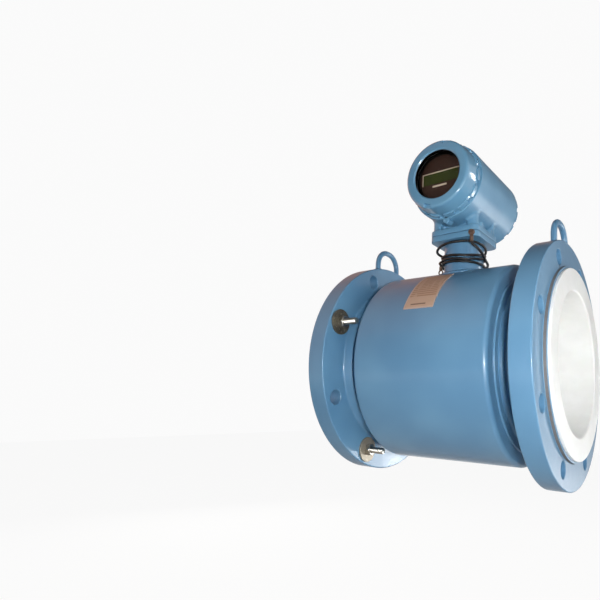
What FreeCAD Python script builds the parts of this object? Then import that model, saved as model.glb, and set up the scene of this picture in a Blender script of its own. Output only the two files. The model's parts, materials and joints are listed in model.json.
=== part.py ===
import FreeCAD, Part
import math
import os

os.makedirs("parts", exist_ok=True)
V = FreeCAD.Vector

# Flanged electromagnetic flow meter with its transmitter on top, in millimetres.
# The pipe runs along X. The origin is on the bore axis, halfway between the two faces.
# Z points up to the transmitter, whose axis runs along Y with the display facing -Y.

# Flow tube and liner
tube_od = 219.1
tube_wall = 3.8
liner_wall = 5.75
face_to_face = 356.0
flare_inset = 3.0
flare_thickness = 3.8
bore_lip = 3.0

# Flanges
flange_thickness = 28.6
flange_edge = 1.5
flange_margin = 22.25
raised_face_height = 5.0
raised_face_gap = 0.8
hub_wall = 15.5
hub_tip_wall = 11.5
hub_length = 14.0
hub_root_round = 3.5
bolt_hole_d = 22.4
bolt_hole_count = 8

# Bolts left in every second hole of the rear flange
bolt_d = 10.0
bolt_af = 16.0
bolt_head_height = 6.4
bolt_nut_height = 8.4
bolt_end = 22.0
washer_od = 39.0
washer_hub_gap = 4.7
head_washer_od = 27.0
washer_thickness = 3.0
head_washer_thickness = 2.0

# Lifting eyes bent from round rod
eye_rod_d = 9.0
eye_width = 66.0
eye_height = 39.5
eye_bend = 26.0

# Coil housing
coil_space = 37.45
shell_wall = 4.0
shell_flange_gap = 35.6
end_plate_thickness = 10.0
end_plate_round = 6.0
collar_wall = 17.5
collar_height = 2.5
collar_round = 1.2
weld_leg = 8.0

# Magnet system inside the coil housing
pole_shoe_thickness = 5.0
pole_shoe_length = 112.0
pole_shoe_width = 120.0
pole_core_d = 44.0
coil_winding = 26.0
coil_corner = 12.0
coil_clearance = 1.0
band_gap = 8.45
band_thickness = 4.0
band_width = 90.0

# Electrodes, one on each side of the bore
electrode_head_d = 14.0
electrode_head_thickness = 3.0
electrode_d = 6.0
electrode_end = 3.0
bush_wall = 2.0
bush_flange_d = 16.0
bush_flange_thickness = 4.0
spring_od = 13.0
spring_thickness = 2.5
electrode_nut_af = 10.0
electrode_nut_height = 5.0

# Neck and the joint under the transmitter
neck_od = 64.0
neck_wall = 4.0
neck_height = 50.0
neck_opening_d = 44.0
foot_width = 85.0
foot_corner = 12.0
neck_flange_thickness = 9.0
gasket_thickness = 1.0
gasket_inset = 1.0
lead_d = 3.0
lead_spacing = 8.0
lead_y = -10.0
lead_passage_d = 18.0

# Transmitter housing
housing_od = 121.0
housing_bore_d = 104.0
housing_front = 64.0
housing_back = 84.0
axis_height = 75.7
base_thickness = 9.0
partition_y = 2.0
partition_thickness = 6.0
pedestal_inset = 3.5
pedestal_corner = 10.0
side_pocket_width = 54.0
side_pocket_depth = 12.0
front_pocket_width = 46.0
front_pocket_depth = 10.0
label_pad_margin = 4.5
label_pad_width = 44.0
label_pad_rise = 0.5
label_inset = 2.5
label_corner = 3.0
label_thickness = 0.8

# Screws that hold the transmitter on its neck
base_screw_d = 8.0
base_screw_head_d = 13.0
base_screw_head_height = 8.0
base_screw_socket_af = 6.0
base_screw_socket_depth = 4.0
base_screw_inset = 8.0
base_screw_pitch = 36.0
base_screw_tip_gap = 1.0

# Cover lock screws in bosses under both mouths of the housing
lock_boss_d = 11.0
lock_boss_length = 18.0
lock_boss_drop = 1.5
lock_screw_d = 5.0
lock_screw_length = 12.0
lock_screw_sink = 0.5

# Conduit entry and its plug on the -X side
conduit_y = 20.0
conduit_boss_d = 34.0
conduit_boss_rise = 7.5
conduit_hole_d = 20.0
plug_d = 23.0
plug_length = 12.0
plug_round = 3.0
plug_thread_length = 13.0

# Threaded covers
cover_gap = 0.3
thread_clearance = 0.4
skirt_length = 12.5
skirt_wall = 5.0
lug_od = 117.0
lug_root_od = 112.4
lug_ring_width = 9.0
lug_count = 14
lug_gap = 8.0
cover_edge_round = 3.0
notch_width = 11.5
notch_depth = 4.3
notch_margin = 1.5
display_cover_turn_deg = 17.0
display_cover_length = 34.2
display_cover_front_od = 106.4
window_d = 76.6
window_bevel = 2.2
window_wall = 3.5
terminal_cover_length = 12.5
terminal_cover_end_od = 106.0
terminal_cover_wall = 4.0

# Cover seals, window glass and its retaining ring
seal_section_d = 3.4
seal_clearance = 0.3
glass_thickness = 7.0
glass_clearance = 0.2
retainer_thickness = 3.0
retainer_width = 6.0

# Electronics, display and terminals
electronics_d = 90.0
electronics_inset = 2.0
standoff_height = 6.0
standoff_d = 8.0
standoff_circle = 68.0
standoff_count = 3
standoff_turn_deg = 30.0
display_d = 88.0
display_gap = 0.8
panel_width = 62.0
panel_height = 18.0
panel_thickness = 1.2
panel_sink = 0.3
terminal_block_width = 56.0
terminal_block_height = 36.0
terminal_block_depth = 14.0
terminal_rows = 2
terminal_columns = 3
terminal_pitch_x = 18.0
terminal_pitch_z = 18.0
terminal_screw_d = 4.0
terminal_screw_head_d = 8.0
terminal_screw_head_height = 2.5
terminal_screw_length = 8.0

# Sensor tag bent round the shell, on the display's side
tag_x = -5.5
tag_length = 49.0
tag_arc = 88.0
tag_start_deg = 28.0
tag_thickness = 0.6
tag_glue = 0.3

# Earth screw on the neck flange, with the wire wound on the neck
earth_screw_inset = 8.5
earth_screw_d = 5.0
earth_screw_head_d = 9.0
earth_screw_head_height = 3.2
earth_screw_length = 10.0
lug_plate = 1.0
lug_ring_d = 10.0
lug_barrel_d = 5.6
lug_barrel_length = 7.0
wire_d = 4.2
wire_clearance = 0.3
winding_wall = 9.5
winding_lift = 13.0
end_lug_ring_d = 9.0
end_lug_barrel_length = 5.0
end_lug_gap = 6.0
end_lug_turn_deg = 215.4
wire_bend_share = 0.45
wire_steps = [(0.0, 0.0, -7.5), (1.6, 5.0, -15.0), (3.8, 14.0, -19.5), (4.8, 25.0, -21.5)]

# Places worked out from the sizes above
tube_r = tube_od / 2
liner_r = tube_r - tube_wall
bore_r = liner_r - liner_wall
face_x = face_to_face / 2
raised_x = face_x - flare_thickness
flange_x = raised_x - raised_face_height
flange_back_x = flange_x - flange_thickness
hub_r = tube_r + hub_wall
hub_tip_r = tube_r + hub_tip_wall
bolt_circle_r = hub_r + washer_hub_gap + washer_od / 2
flange_r = bolt_circle_r + flange_margin
raised_face_r = bolt_circle_r - head_washer_od / 2 - raised_face_gap
flare_r = raised_face_r - flare_inset
shell_r = tube_r + coil_space
shell_inner_r = shell_r - shell_wall
shell_x = flange_back_x - shell_flange_gap
plate_x = shell_x - end_plate_thickness
shoe_r = tube_r + pole_shoe_thickness
band_r = shell_inner_r - band_gap
band_inner_r = band_r - band_thickness
coil_r = band_inner_r - coil_clearance
neck_r = neck_od / 2
neck_bore_r = neck_r - neck_wall
neck_top = shell_r + neck_height
gasket_z = neck_top + neck_flange_thickness
base_z = gasket_z + gasket_thickness
base_top = base_z + base_thickness
foot_half = foot_width / 2
earth_screw_x = foot_half - earth_screw_inset
axis_z = base_z + axis_height
housing_r = housing_od / 2
housing_bore_r = housing_bore_d / 2
partition_back = partition_y + partition_thickness
skirt_r = housing_bore_r - thread_clearance
cavity_r = skirt_r - skirt_wall
seal_r = seal_section_d / 2
seal_ring_r = skirt_r + seal_clearance + seal_r
seal_recess_r = seal_ring_r + seal_r + seal_clearance
seal_recess_depth = seal_section_d + seal_clearance
glass_seat = display_cover_length - window_wall
retainer_seat = glass_seat - glass_thickness
display_face = retainer_seat - retainer_thickness - display_gap
electronics_front = electronics_inset - housing_front
electronics_back = partition_y - standoff_height
pad_z = axis_z + housing_r + label_pad_rise
conduit_boss_x = housing_r + conduit_boss_rise
winding_r = neck_r + wire_clearance + winding_wall
winding_bottom = shell_r + winding_lift
winding_top = neck_top - wire_clearance


def along_x(radius, start, end, y=0.0, z=0.0):
    return Part.makeCylinder(radius, end - start, V(start, y, z), V(1, 0, 0))


def along_y(radius, start, end, x=0.0, z=0.0):
    return Part.makeCylinder(radius, end - start, V(x, start, z), V(0, 1, 0))


def along_z(radius, start, end, x=0.0, y=0.0):
    return Part.makeCylinder(radius, end - start, V(x, y, start))


def block(x0, x1, y0, y1, z0, z1):
    return Part.makeBox(x1 - x0, y1 - y0, z1 - z0, V(x0, y0, z0))


def outlined(corners, place):
    """Face bounded by straight runs and tangent arcs; each corner is u, v and its radius."""
    bends = []
    for i, (u, v, radius) in enumerate(corners):
        here = V(u, v, 0)
        back = V(*corners[i - 1][:2], 0) - here
        ahead = V(*corners[(i + 1) % len(corners)][:2], 0) - here
        back.normalize()
        ahead.normalize()
        half = back.getAngle(ahead) / 2
        reach = radius / math.tan(half)
        inward = back + ahead
        if radius:
            inward.normalize()
        middle = here + inward * (radius / math.sin(half) - radius)
        bends.append((here + back * reach, middle, here + ahead * reach, radius))
    edges = []
    for i, (start, middle, end, radius) in enumerate(bends):
        if radius:
            edges.append(Part.Arc(place(start), place(middle), place(end)).toShape())
        following = bends[(i + 1) % len(bends)][0]
        edges.append(Part.LineSegment(place(end), place(following)).toShape())
    return Part.Face(Part.Wire(edges))


def turned_x(corners):
    """Solid of revolution about the pipe axis from corners of x, radius and rounding."""
    return outlined(corners, lambda p: V(p.x, 0, p.y)).revolve(V(0, 0, 0), V(1, 0, 0), 360)


def turned_cover(corners, mouth, out):
    """Solid turned about the transmitter's axis; u runs out from the housing's mouth."""
    face = outlined(corners, lambda p: V(0, mouth + out * p.x, axis_z + p.y))
    return face.revolve(V(0, 0, axis_z), V(0, 1, 0), 360)


def rounded_plate(width, depth, corner, z0, z1):
    w = width / 2
    d = depth / 2
    corners = [(-w, -d, corner), (w, -d, corner), (w, d, corner), (-w, d, corner)]
    return outlined(corners, lambda p: V(p.x, p.y, z0)).extrude(V(0, 0, z1 - z0))


def hexagon(across_flats, height, position, direction):
    reach = across_flats / math.sqrt(3)
    points = [V(reach * math.cos(k * math.pi / 3), reach * math.sin(k * math.pi / 3), 0) for k in range(7)]
    prism = Part.Face(Part.makePolygon(points)).extrude(V(0, 0, height))
    prism.Placement = FreeCAD.Placement(position, FreeCAD.Rotation(V(0, 0, 1), direction))
    return prism


def hole_place(index):
    """Y and Z of a flange hole; the holes straddle the vertical and count towards -Y."""
    angle = (index + 0.5) * 2 * math.pi / bolt_hole_count
    return -bolt_circle_r * math.sin(angle), bolt_circle_r * math.cos(angle)


def mirrored(shape):
    return shape.mirror(V(0, 0, 0), V(1, 0, 0))


def save(name, *solids):
    shape = solids[0] if len(solids) == 1 else Part.makeCompound(solids)
    shape.exportStep(f"parts/{name}.step")


# Electrodes: a button head flush with the bore, and a shank out through liner and tube
def electrode_pieces(side):
    """Electrode, bush, spring and nut on one side; side is -1 at -Y and 1 at +Y."""
    def shaft(radius, start, end):
        return Part.makeCylinder(radius, end - start, V(0, side * start, 0), V(0, side, 0))

    head_end = bore_r + electrode_head_thickness
    bush_end = tube_r + bush_flange_thickness
    spring_end = bush_end + spring_thickness
    nut_end = spring_end + electrode_nut_height
    shank_r = electrode_d / 2
    head = shaft(electrode_head_d / 2, 0, head_end).cut(along_x(bore_r, -face_x, face_x))
    electrode = head.fuse(shaft(shank_r, head_end, nut_end + electrode_end)).removeSplitter()
    sleeve = shaft(shank_r + bush_wall, liner_r, bush_end).cut(along_x(liner_r, -face_x, face_x))
    collar = shaft(bush_flange_d / 2, 0, bush_end).cut(along_x(tube_r, -face_x, face_x))
    bush = sleeve.fuse(collar).removeSplitter().cut(shaft(shank_r, 0, bush_end))
    spring = shaft(spring_od / 2, bush_end, spring_end).cut(shaft(shank_r, bush_end, spring_end))
    nut = hexagon(electrode_nut_af, electrode_nut_height, V(0, side * spring_end, 0), V(0, side, 0))
    nut = nut.cut(shaft(shank_r, spring_end, nut_end))
    return electrode, bush, spring, nut


near_electrode, near_bush, near_spring, near_nut = electrode_pieces(-1)
far_electrode, far_bush, far_spring, far_nut = electrode_pieces(1)

# Flow tube, lined with a sleeve that flares over both raised faces
flow_tube = along_x(tube_r, -raised_x, raised_x).cut(along_x(liner_r, -raised_x, raised_x))
flow_tube = flow_tube.cut(along_y(electrode_d / 2 + bush_wall, -tube_od, tube_od))

liner = turned_x([
    (-face_x, bore_r, bore_lip),
    (face_x, bore_r, bore_lip),
    (face_x, flare_r, 0),
    (raised_x, flare_r, 0),
    (raised_x, liner_r, 0),
    (-raised_x, liner_r, 0),
    (-raised_x, flare_r, 0),
    (-face_x, flare_r, 0),
])
pocket_r = bore_r + electrode_head_thickness
liner = liner.cut(along_y(electrode_d / 2, -tube_od, tube_od))
liner = liner.cut(along_y(electrode_head_d / 2, -pocket_r, pocket_r))


# Flanges: plate, raised face and a tapered hub, slipped over the tube and welded
def flange():
    body = turned_x([
        (raised_x, tube_r, 0),
        (raised_x, raised_face_r, 0),
        (flange_x, raised_face_r, 0),
        (flange_x, flange_r, flange_edge),
        (flange_back_x, flange_r, flange_edge),
        (flange_back_x, hub_r, hub_root_round),
        (flange_back_x - hub_length, hub_tip_r, 0),
        (flange_back_x - hub_length, tube_r, 0),
    ])
    for k in range(bolt_hole_count):
        y, z = hole_place(k)
        body = body.cut(along_x(bolt_hole_d / 2, flange_back_x, flange_x, y, z))
    return body


front_flange = flange()
rear_flange = mirrored(flange())


# Lifting eyes: a rod bent into a U, standing on the flange's rim
def lifting_eye(x):
    half = (eye_width - eye_rod_d) / 2
    top = flange_r + eye_height - eye_rod_d / 2
    diagonal = eye_bend * math.sqrt(0.5)
    bend_z = top - eye_bend
    bend_y = half - eye_bend
    path = Part.Wire([
        Part.LineSegment(V(x, -half, 0), V(x, -half, bend_z)).toShape(),
        Part.Arc(V(x, -half, bend_z), V(x, -bend_y - diagonal, bend_z + diagonal), V(x, -bend_y, top)).toShape(),
        Part.LineSegment(V(x, -bend_y, top), V(x, bend_y, top)).toShape(),
        Part.Arc(V(x, bend_y, top), V(x, bend_y + diagonal, bend_z + diagonal), V(x, half, bend_z)).toShape(),
        Part.LineSegment(V(x, half, bend_z), V(x, half, 0)).toShape(),
    ])
    section = Part.Wire(Part.makeCircle(eye_rod_d / 2, V(x, -half, 0), V(0, 0, 1)))
    rod = path.makePipeShell([section], True, False)
    return rod.cut(along_x(flange_r, x - flange_thickness, x + flange_thickness))


eye_x = flange_x - flange_thickness / 2
front_eye = lifting_eye(eye_x)
rear_eye = lifting_eye(-eye_x)


# Bolts, washers and nuts through every second hole of the rear flange
def rear_fasteners():
    bolts = []
    washers = []
    nuts = []
    head_x = -flange_x - head_washer_thickness
    nut_x = -flange_back_x + washer_thickness
    for k in range(1, bolt_hole_count, 2):
        y, z = hole_place(k)
        shank = along_x(bolt_d / 2, head_x, nut_x + bolt_nut_height + bolt_end, y, z)
        head = hexagon(bolt_af, bolt_head_height, V(head_x, y, z), V(-1, 0, 0))
        bolts.append(head.fuse(shank).removeSplitter())
        for start, end, diameter in ((head_x, -flange_x, head_washer_od), (-flange_back_x, nut_x, washer_od)):
            ring = along_x(diameter / 2, start, end, y, z)
            washers.append(ring.cut(along_x(bolt_d / 2, start, end, y, z)))
        nut = hexagon(bolt_af, bolt_nut_height, V(nut_x, y, z), V(1, 0, 0))
        nuts.append(nut.cut(along_x(bolt_d / 2, nut_x, nut_x + bolt_nut_height, y, z)))
    return bolts, washers, nuts


flange_bolts, flange_washers, flange_nuts = rear_fasteners()

# Coil housing: a rolled shell between two end plates, each with a low collar welded to the tube
shell = along_x(shell_r, -plate_x, plate_x).cut(along_x(shell_inner_r, -plate_x, plate_x))
shell = shell.cut(along_z(neck_opening_d / 2, 0, neck_top))


def end_plate():
    collar_r = tube_r + collar_wall
    collar_x = shell_x + collar_height
    return turned_x([
        (plate_x, tube_r, 0),
        (plate_x, shell_r, 0),
        (shell_x, shell_r, end_plate_round),
        (shell_x, collar_r, 0),
        (collar_x, collar_r, collar_round),
        (collar_x, tube_r + weld_leg, 0),
        (collar_x + weld_leg, tube_r, 0),
    ])


# Magnet: pole pieces on the tube, saddle coils round their cores, and the band that closes the flux
def hollow_x(inner, outer, half_length):
    return along_x(outer, -half_length, half_length).cut(along_x(inner, -half_length, half_length))


def saddle(width, depth, corner, inner, outer):
    """Upper part of a ring between two radii that lies above a rounded rectangle."""
    return rounded_plate(width, depth, corner, 0, shell_r).common(hollow_x(inner, outer, shell_x))


def pole_piece():
    shoe = saddle(pole_shoe_length, pole_shoe_width, coil_corner, tube_r, shoe_r)
    core = along_z(pole_core_d / 2, 0, shell_r).common(hollow_x(shoe_r, band_inner_r, shell_x))
    return shoe.fuse(core).removeSplitter()


def field_coil():
    window = pole_core_d + 2 * coil_clearance
    outside = window + 2 * coil_winding
    ring = saddle(outside, outside, coil_corner, shoe_r, coil_r)
    return ring.cut(rounded_plate(window, window, coil_clearance, 0, shell_r))


def turned_under(shape):
    return shape.mirror(V(0, 0, 0), V(0, 0, 1))


flux_band = hollow_x(band_inner_r, band_r, band_width / 2)

# Neck, its square flange and gasket, with the sealed leads
neck_tube = along_z(neck_r, 0, neck_top).cut(along_z(neck_bore_r, 0, neck_top))
neck_tube = neck_tube.cut(along_x(shell_r, -shell_x, shell_x))
neck_flange = rounded_plate(foot_width, foot_width, foot_corner, neck_top, gasket_z)
neck_flange = neck_flange.cut(along_z(neck_bore_r, neck_top, gasket_z))
gasket_width = foot_width - 2 * gasket_inset
gasket = rounded_plate(gasket_width, gasket_width, foot_corner - gasket_inset, gasket_z, base_z)
gasket = gasket.cut(along_z(neck_bore_r, gasket_z, base_z))

lead_places = [(i * lead_spacing / 2, lead_y + j * lead_spacing / 2) for i in (-1, 1) for j in (-1, 1)]
lead_seal = along_z(neck_bore_r, neck_top, gasket_z)
sensor_leads = []
for lead_x, one_lead_y in lead_places:
    lead = along_z(lead_d / 2, 0, axis_z, lead_x, one_lead_y)
    lead_seal = lead_seal.cut(lead)
    lead = lead.cut(along_x(band_r, -shell_x, shell_x))
    sensor_leads.append(lead.cut(along_y(electronics_d / 2, electronics_front, electronics_back, 0, axis_z)))


# Transmitter housing: a two-ended barrel cast in one with its pedestal and square base
def pedestal():
    width = foot_width - 2 * pedestal_inset
    body = rounded_plate(width, width, pedestal_corner, base_z, axis_z)
    inner_x = width / 2 - side_pocket_depth
    inner_y = width / 2 - front_pocket_depth
    for sign in (-1, 1):
        ends = sorted((sign * inner_x, sign * foot_half))
        body = body.cut(block(*ends, -side_pocket_width / 2, side_pocket_width / 2, base_top, axis_z))
        ends = sorted((sign * inner_y, sign * foot_half))
        body = body.cut(block(-front_pocket_width / 2, front_pocket_width / 2, *ends, base_top, axis_z))
    return body.fuse(rounded_plate(foot_width, foot_width, foot_corner, base_z, base_top))


def lock_screw_z():
    return axis_z - housing_r - lock_boss_drop


def housing():
    body = along_y(housing_r, -housing_front, housing_back, 0, axis_z)
    body = body.fuse(pedestal())
    body = body.fuse(block(-label_pad_width / 2, label_pad_width / 2,
                           label_pad_margin - housing_front, housing_back - label_pad_margin, axis_z, pad_z))
    body = body.fuse(along_x(conduit_boss_d / 2, -conduit_boss_x, 0, conduit_y, axis_z))
    for start in (-housing_front, housing_back - lock_boss_length):
        body = body.fuse(along_y(lock_boss_d / 2, start, start + lock_boss_length, 0, lock_screw_z()))
    body = body.cut(along_y(housing_bore_r, -housing_front, partition_y, 0, axis_z))
    body = body.cut(along_y(housing_bore_r, partition_back, housing_back, 0, axis_z))
    body = body.cut(along_y(seal_recess_r, -housing_front, seal_recess_depth - housing_front, 0, axis_z))
    body = body.cut(along_y(seal_recess_r, housing_back - seal_recess_depth, housing_back, 0, axis_z))
    for k in range(standoff_count):
        angle = math.radians(standoff_turn_deg + k * 360 / standoff_count)
        x = standoff_circle / 2 * math.cos(angle)
        z = axis_z + standoff_circle / 2 * math.sin(angle)
        body = body.fuse(along_y(standoff_d / 2, electronics_back, partition_y, x, z))
    body = body.cut(along_z(lead_passage_d / 2, base_z, axis_z, 0, lead_y))
    body = body.cut(along_x(conduit_hole_d / 2, -conduit_boss_x, 0, conduit_y, axis_z))
    for x, y in base_screw_places():
        body = body.cut(along_z(base_screw_d / 2, base_z, base_top, x, y))
    for start in lock_screw_starts():
        body = body.cut(along_y(lock_screw_d / 2, start, start + lock_screw_length, 0, lock_screw_z()))
    front_sink = along_y(lock_screw_d / 2, -housing_front, lock_screw_sink - housing_front, 0, lock_screw_z())
    back_sink = along_y(lock_screw_d / 2, housing_back - lock_screw_sink, housing_back, 0, lock_screw_z())
    return body.cut(front_sink).cut(back_sink).removeSplitter()


def base_screw_places():
    x = foot_half - base_screw_inset
    return [(i * x, j * base_screw_pitch / 2) for i in (-1, 1) for j in (-1, 1)]


def lock_screw_starts():
    return lock_screw_sink - housing_front, housing_back - lock_screw_sink - lock_screw_length


def base_screw(x, y):
    head_top = base_top + base_screw_head_height
    socket_z = head_top - base_screw_socket_depth
    shank = along_z(base_screw_d / 2, neck_top + base_screw_tip_gap, base_top, x, y)
    head = along_z(base_screw_head_d / 2, base_top, head_top, x, y)
    socket = hexagon(base_screw_socket_af, base_screw_socket_depth, V(x, y, socket_z), V(0, 0, 1))
    return shank.fuse(head).removeSplitter().cut(socket)


base_screws = [base_screw(x, y) for x, y in base_screw_places()]
for x, y in base_screw_places():
    gasket = gasket.cut(along_z(base_screw_d / 2, gasket_z, base_z, x, y))
    neck_flange = neck_flange.cut(along_z(base_screw_d / 2, neck_top + base_screw_tip_gap, gasket_z, x, y))

lock_screws = [along_y(lock_screw_d / 2, start, start + lock_screw_length, 0, lock_screw_z())
               for start in lock_screw_starts()]

# Conduit plug, screwed into the boss
plug_end = conduit_boss_x + plug_length
plug_corners = [(-plug_end, 0, 0), (-plug_end, plug_d / 2, plug_round), (-conduit_boss_x, plug_d / 2, 0),
                (-conduit_boss_x, conduit_hole_d / 2, 0),
                (plug_thread_length - conduit_boss_x, conduit_hole_d / 2, 0),
                (plug_thread_length - conduit_boss_x, 0, 0)]
conduit_plug = outlined(plug_corners, lambda p: V(p.x, conduit_y, axis_z + p.y))
conduit_plug = conduit_plug.revolve(V(0, conduit_y, axis_z), V(1, 0, 0), 360)

# Label plate on the pad along the top of the housing
label_length = housing_front + housing_back - 2 * label_pad_margin - 2 * label_inset
label = rounded_plate(label_pad_width - 2 * label_inset, label_length, label_corner, pad_z, pad_z + label_thickness)
label.translate(V(0, (housing_back - housing_front) / 2, 0))


# Threaded covers: plain skirt, ring of grip lugs, and wrench notches in the outer rim
def ring_of_lugs(cover, mouth, out, turn_deg):
    for k in range(lug_count):
        ends = sorted((mouth + out * cover_gap, mouth + out * (cover_gap + lug_ring_width)))
        slot = block(-lug_gap / 2, lug_gap / 2, *ends, axis_z + lug_root_od / 2, axis_z + lug_od)
        slot.rotate(V(0, 0, axis_z), V(0, 1, 0), turn_deg + (k + 0.5) * 360 / lug_count)
        cover = cover.cut(slot)
    return cover


def rim_notches(cover, mouth, out, length, turn_deg):
    inner = cavity_r + notch_margin
    for sign in (-1, 1):
        ends = sorted((mouth + out * (length - notch_depth), mouth + out * length))
        heights = sorted((axis_z + sign * inner, axis_z + sign * lug_od))
        notch = block(-notch_width / 2, notch_width / 2, *ends, *heights)
        notch.rotate(V(0, 0, axis_z), V(0, 1, 0), turn_deg)
        cover = cover.cut(notch)
    return cover


skirt_corners = [
    (-skirt_length, cavity_r, 0),
    (-skirt_length, skirt_r, 0),
    (cover_gap, skirt_r, 0),
    (cover_gap, lug_od / 2, 0),
    (cover_gap + lug_ring_width, lug_od / 2, 0),
    (cover_gap + lug_ring_width, lug_root_od / 2, 0),
]
display_cover = turned_cover(skirt_corners + [
    (display_cover_length, display_cover_front_od / 2, cover_edge_round),
    (display_cover_length, window_d / 2 + window_bevel, 0),
    (display_cover_length - window_bevel, window_d / 2, 0),
    (glass_seat, window_d / 2, 0),
    (glass_seat, cavity_r, 0),
], -housing_front, -1)
display_cover = ring_of_lugs(display_cover, -housing_front, -1, display_cover_turn_deg)
display_cover = rim_notches(display_cover, -housing_front, -1, display_cover_length, display_cover_turn_deg)

terminal_cover = turned_cover(skirt_corners + [
    (terminal_cover_length, terminal_cover_end_od / 2, cover_edge_round),
    (terminal_cover_length, 0, 0),
    (terminal_cover_length - terminal_cover_wall, 0, 0),
    (terminal_cover_length - terminal_cover_wall, cavity_r, 0),
], housing_back, 1)
terminal_cover = ring_of_lugs(terminal_cover, housing_back, 1, 0)
terminal_cover = rim_notches(terminal_cover, housing_back, 1, terminal_cover_length, 0)


def cover_seal(centre_y):
    return Part.makeTorus(seal_ring_r, seal_r, V(0, centre_y, axis_z), V(0, 1, 0))


display_cover_seal = cover_seal(seal_r - housing_front)
terminal_cover_seal = cover_seal(housing_back - seal_r)

glass_y = -housing_front - glass_seat
retainer_y = -housing_front - retainer_seat
glass_r = cavity_r - glass_clearance
window_glass = along_y(glass_r, glass_y, retainer_y, 0, axis_z)
retainer = along_y(cavity_r, retainer_y, retainer_y + retainer_thickness, 0, axis_z)
retainer = retainer.cut(along_y(cavity_r - retainer_width, retainer_y, retainer_y + retainer_thickness, 0, axis_z))

# Electronics on the partition's standoffs, with the display plugged on its front
electronics = along_y(electronics_d / 2, electronics_front, electronics_back, 0, axis_z)
display_y = -housing_front - display_face
panel_back = display_y + panel_sink + panel_thickness
display_module = along_y(display_d / 2, display_y, electronics_front, 0, axis_z)
panel_recess = block(-panel_width / 2, panel_width / 2, display_y, panel_back,
                     axis_z - panel_height / 2, axis_z + panel_height / 2)
display_module = display_module.cut(panel_recess)
display_panel = block(-panel_width / 2, panel_width / 2, display_y + panel_sink, panel_back,
                      axis_z - panel_height / 2, axis_z + panel_height / 2)

# Terminal block on the other side of the partition
terminal_face = partition_back + terminal_block_depth
terminal_block = block(-terminal_block_width / 2, terminal_block_width / 2, partition_back, terminal_face,
                       axis_z - terminal_block_height / 2, axis_z + terminal_block_height / 2)
terminal_screws = []
for i in range(terminal_columns):
    for j in range(terminal_rows):
        x = (i - (terminal_columns - 1) / 2) * terminal_pitch_x
        z = axis_z + (j - (terminal_rows - 1) / 2) * terminal_pitch_z
        shank = along_y(terminal_screw_d / 2, terminal_face - terminal_screw_length, terminal_face, x, z)
        head = along_y(terminal_screw_head_d / 2, terminal_face, terminal_face + terminal_screw_head_height, x, z)
        terminal_block = terminal_block.cut(shank)
        terminal_screws.append(shank.fuse(head).removeSplitter())

# Sensor tag: a thin plate bent round the shell below the neck
tag_sweep = math.degrees(tag_arc / shell_r)
tag_r = shell_r + tag_glue
tag_edge = Part.LineSegment(V(0, 0, tag_r), V(0, 0, tag_r + tag_thickness)).toShape()
tag_edge.rotate(V(0, 0, 0), V(1, 0, 0), tag_start_deg)
sensor_tag = tag_edge.revolve(V(0, 0, 0), V(1, 0, 0), tag_sweep).extrude(V(tag_length, 0, 0))
sensor_tag.translate(V(tag_x - tag_length / 2, 0, 0))

# Earth screw with its lug on the edge of the neck flange
earth_z = (neck_top + gasket_z) / 2
earth_y = -foot_half - lug_plate
earth_head = along_y(earth_screw_head_d / 2, earth_y - earth_screw_head_height, earth_y, earth_screw_x, earth_z)
earth_shank = along_y(earth_screw_d / 2, earth_y, earth_y + earth_screw_length, earth_screw_x, earth_z)
earth_screw = earth_head.fuse(earth_shank).removeSplitter()
neck_flange = neck_flange.cut(earth_shank)


def ring_lug(ring_d, hole_d, barrel_length, x, y, hole_z, barrel_z):
    """Flat ring in an XZ plane from y back to the seat, with a barrel hanging or standing off it."""
    ring = along_y(ring_d / 2, y, y + lug_plate, x, hole_z)
    ends = sorted((hole_z, barrel_z))
    tongue = block(x - lug_barrel_d / 2, x + lug_barrel_d / 2, y, y + lug_plate, *ends)
    away = math.copysign(barrel_length, barrel_z - hole_z)
    ends = sorted((barrel_z, barrel_z + away))
    barrel = along_z(lug_barrel_d / 2, *ends, x, y + lug_plate / 2)
    hole = along_y(hole_d / 2, y, y + lug_plate, x, hole_z)
    return ring.fuse(tongue).fuse(barrel).removeSplitter().cut(hole)


earth_lug_z = neck_top - lug_barrel_d / 2
earth_lug = ring_lug(lug_ring_d, earth_screw_d, lug_barrel_length, earth_screw_x, earth_y, earth_z, earth_lug_z)
end_lug_barrel_z = winding_bottom - end_lug_barrel_length
end_lug_r = neck_r + end_lug_gap
end_lug_angle = math.radians(end_lug_turn_deg)
end_lug = ring_lug(end_lug_ring_d, earth_screw_d, end_lug_barrel_length,
                   end_lug_r * math.cos(end_lug_angle), end_lug_r * math.sin(end_lug_angle),
                   end_lug_barrel_z - end_lug_ring_d / 2, end_lug_barrel_z)

# Earth wire: the turns wound round the neck, and the run down from the earth screw
wire_winding = along_z(winding_r, winding_bottom, winding_top)
wire_winding = wire_winding.cut(along_z(neck_r + wire_clearance, winding_bottom, winding_top))
wire_exit = V(earth_screw_x, earth_y + lug_plate / 2, earth_lug_z - lug_barrel_length)
wire_route = [wire_exit] + [wire_exit + V(*step) for step in wire_steps]


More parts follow.
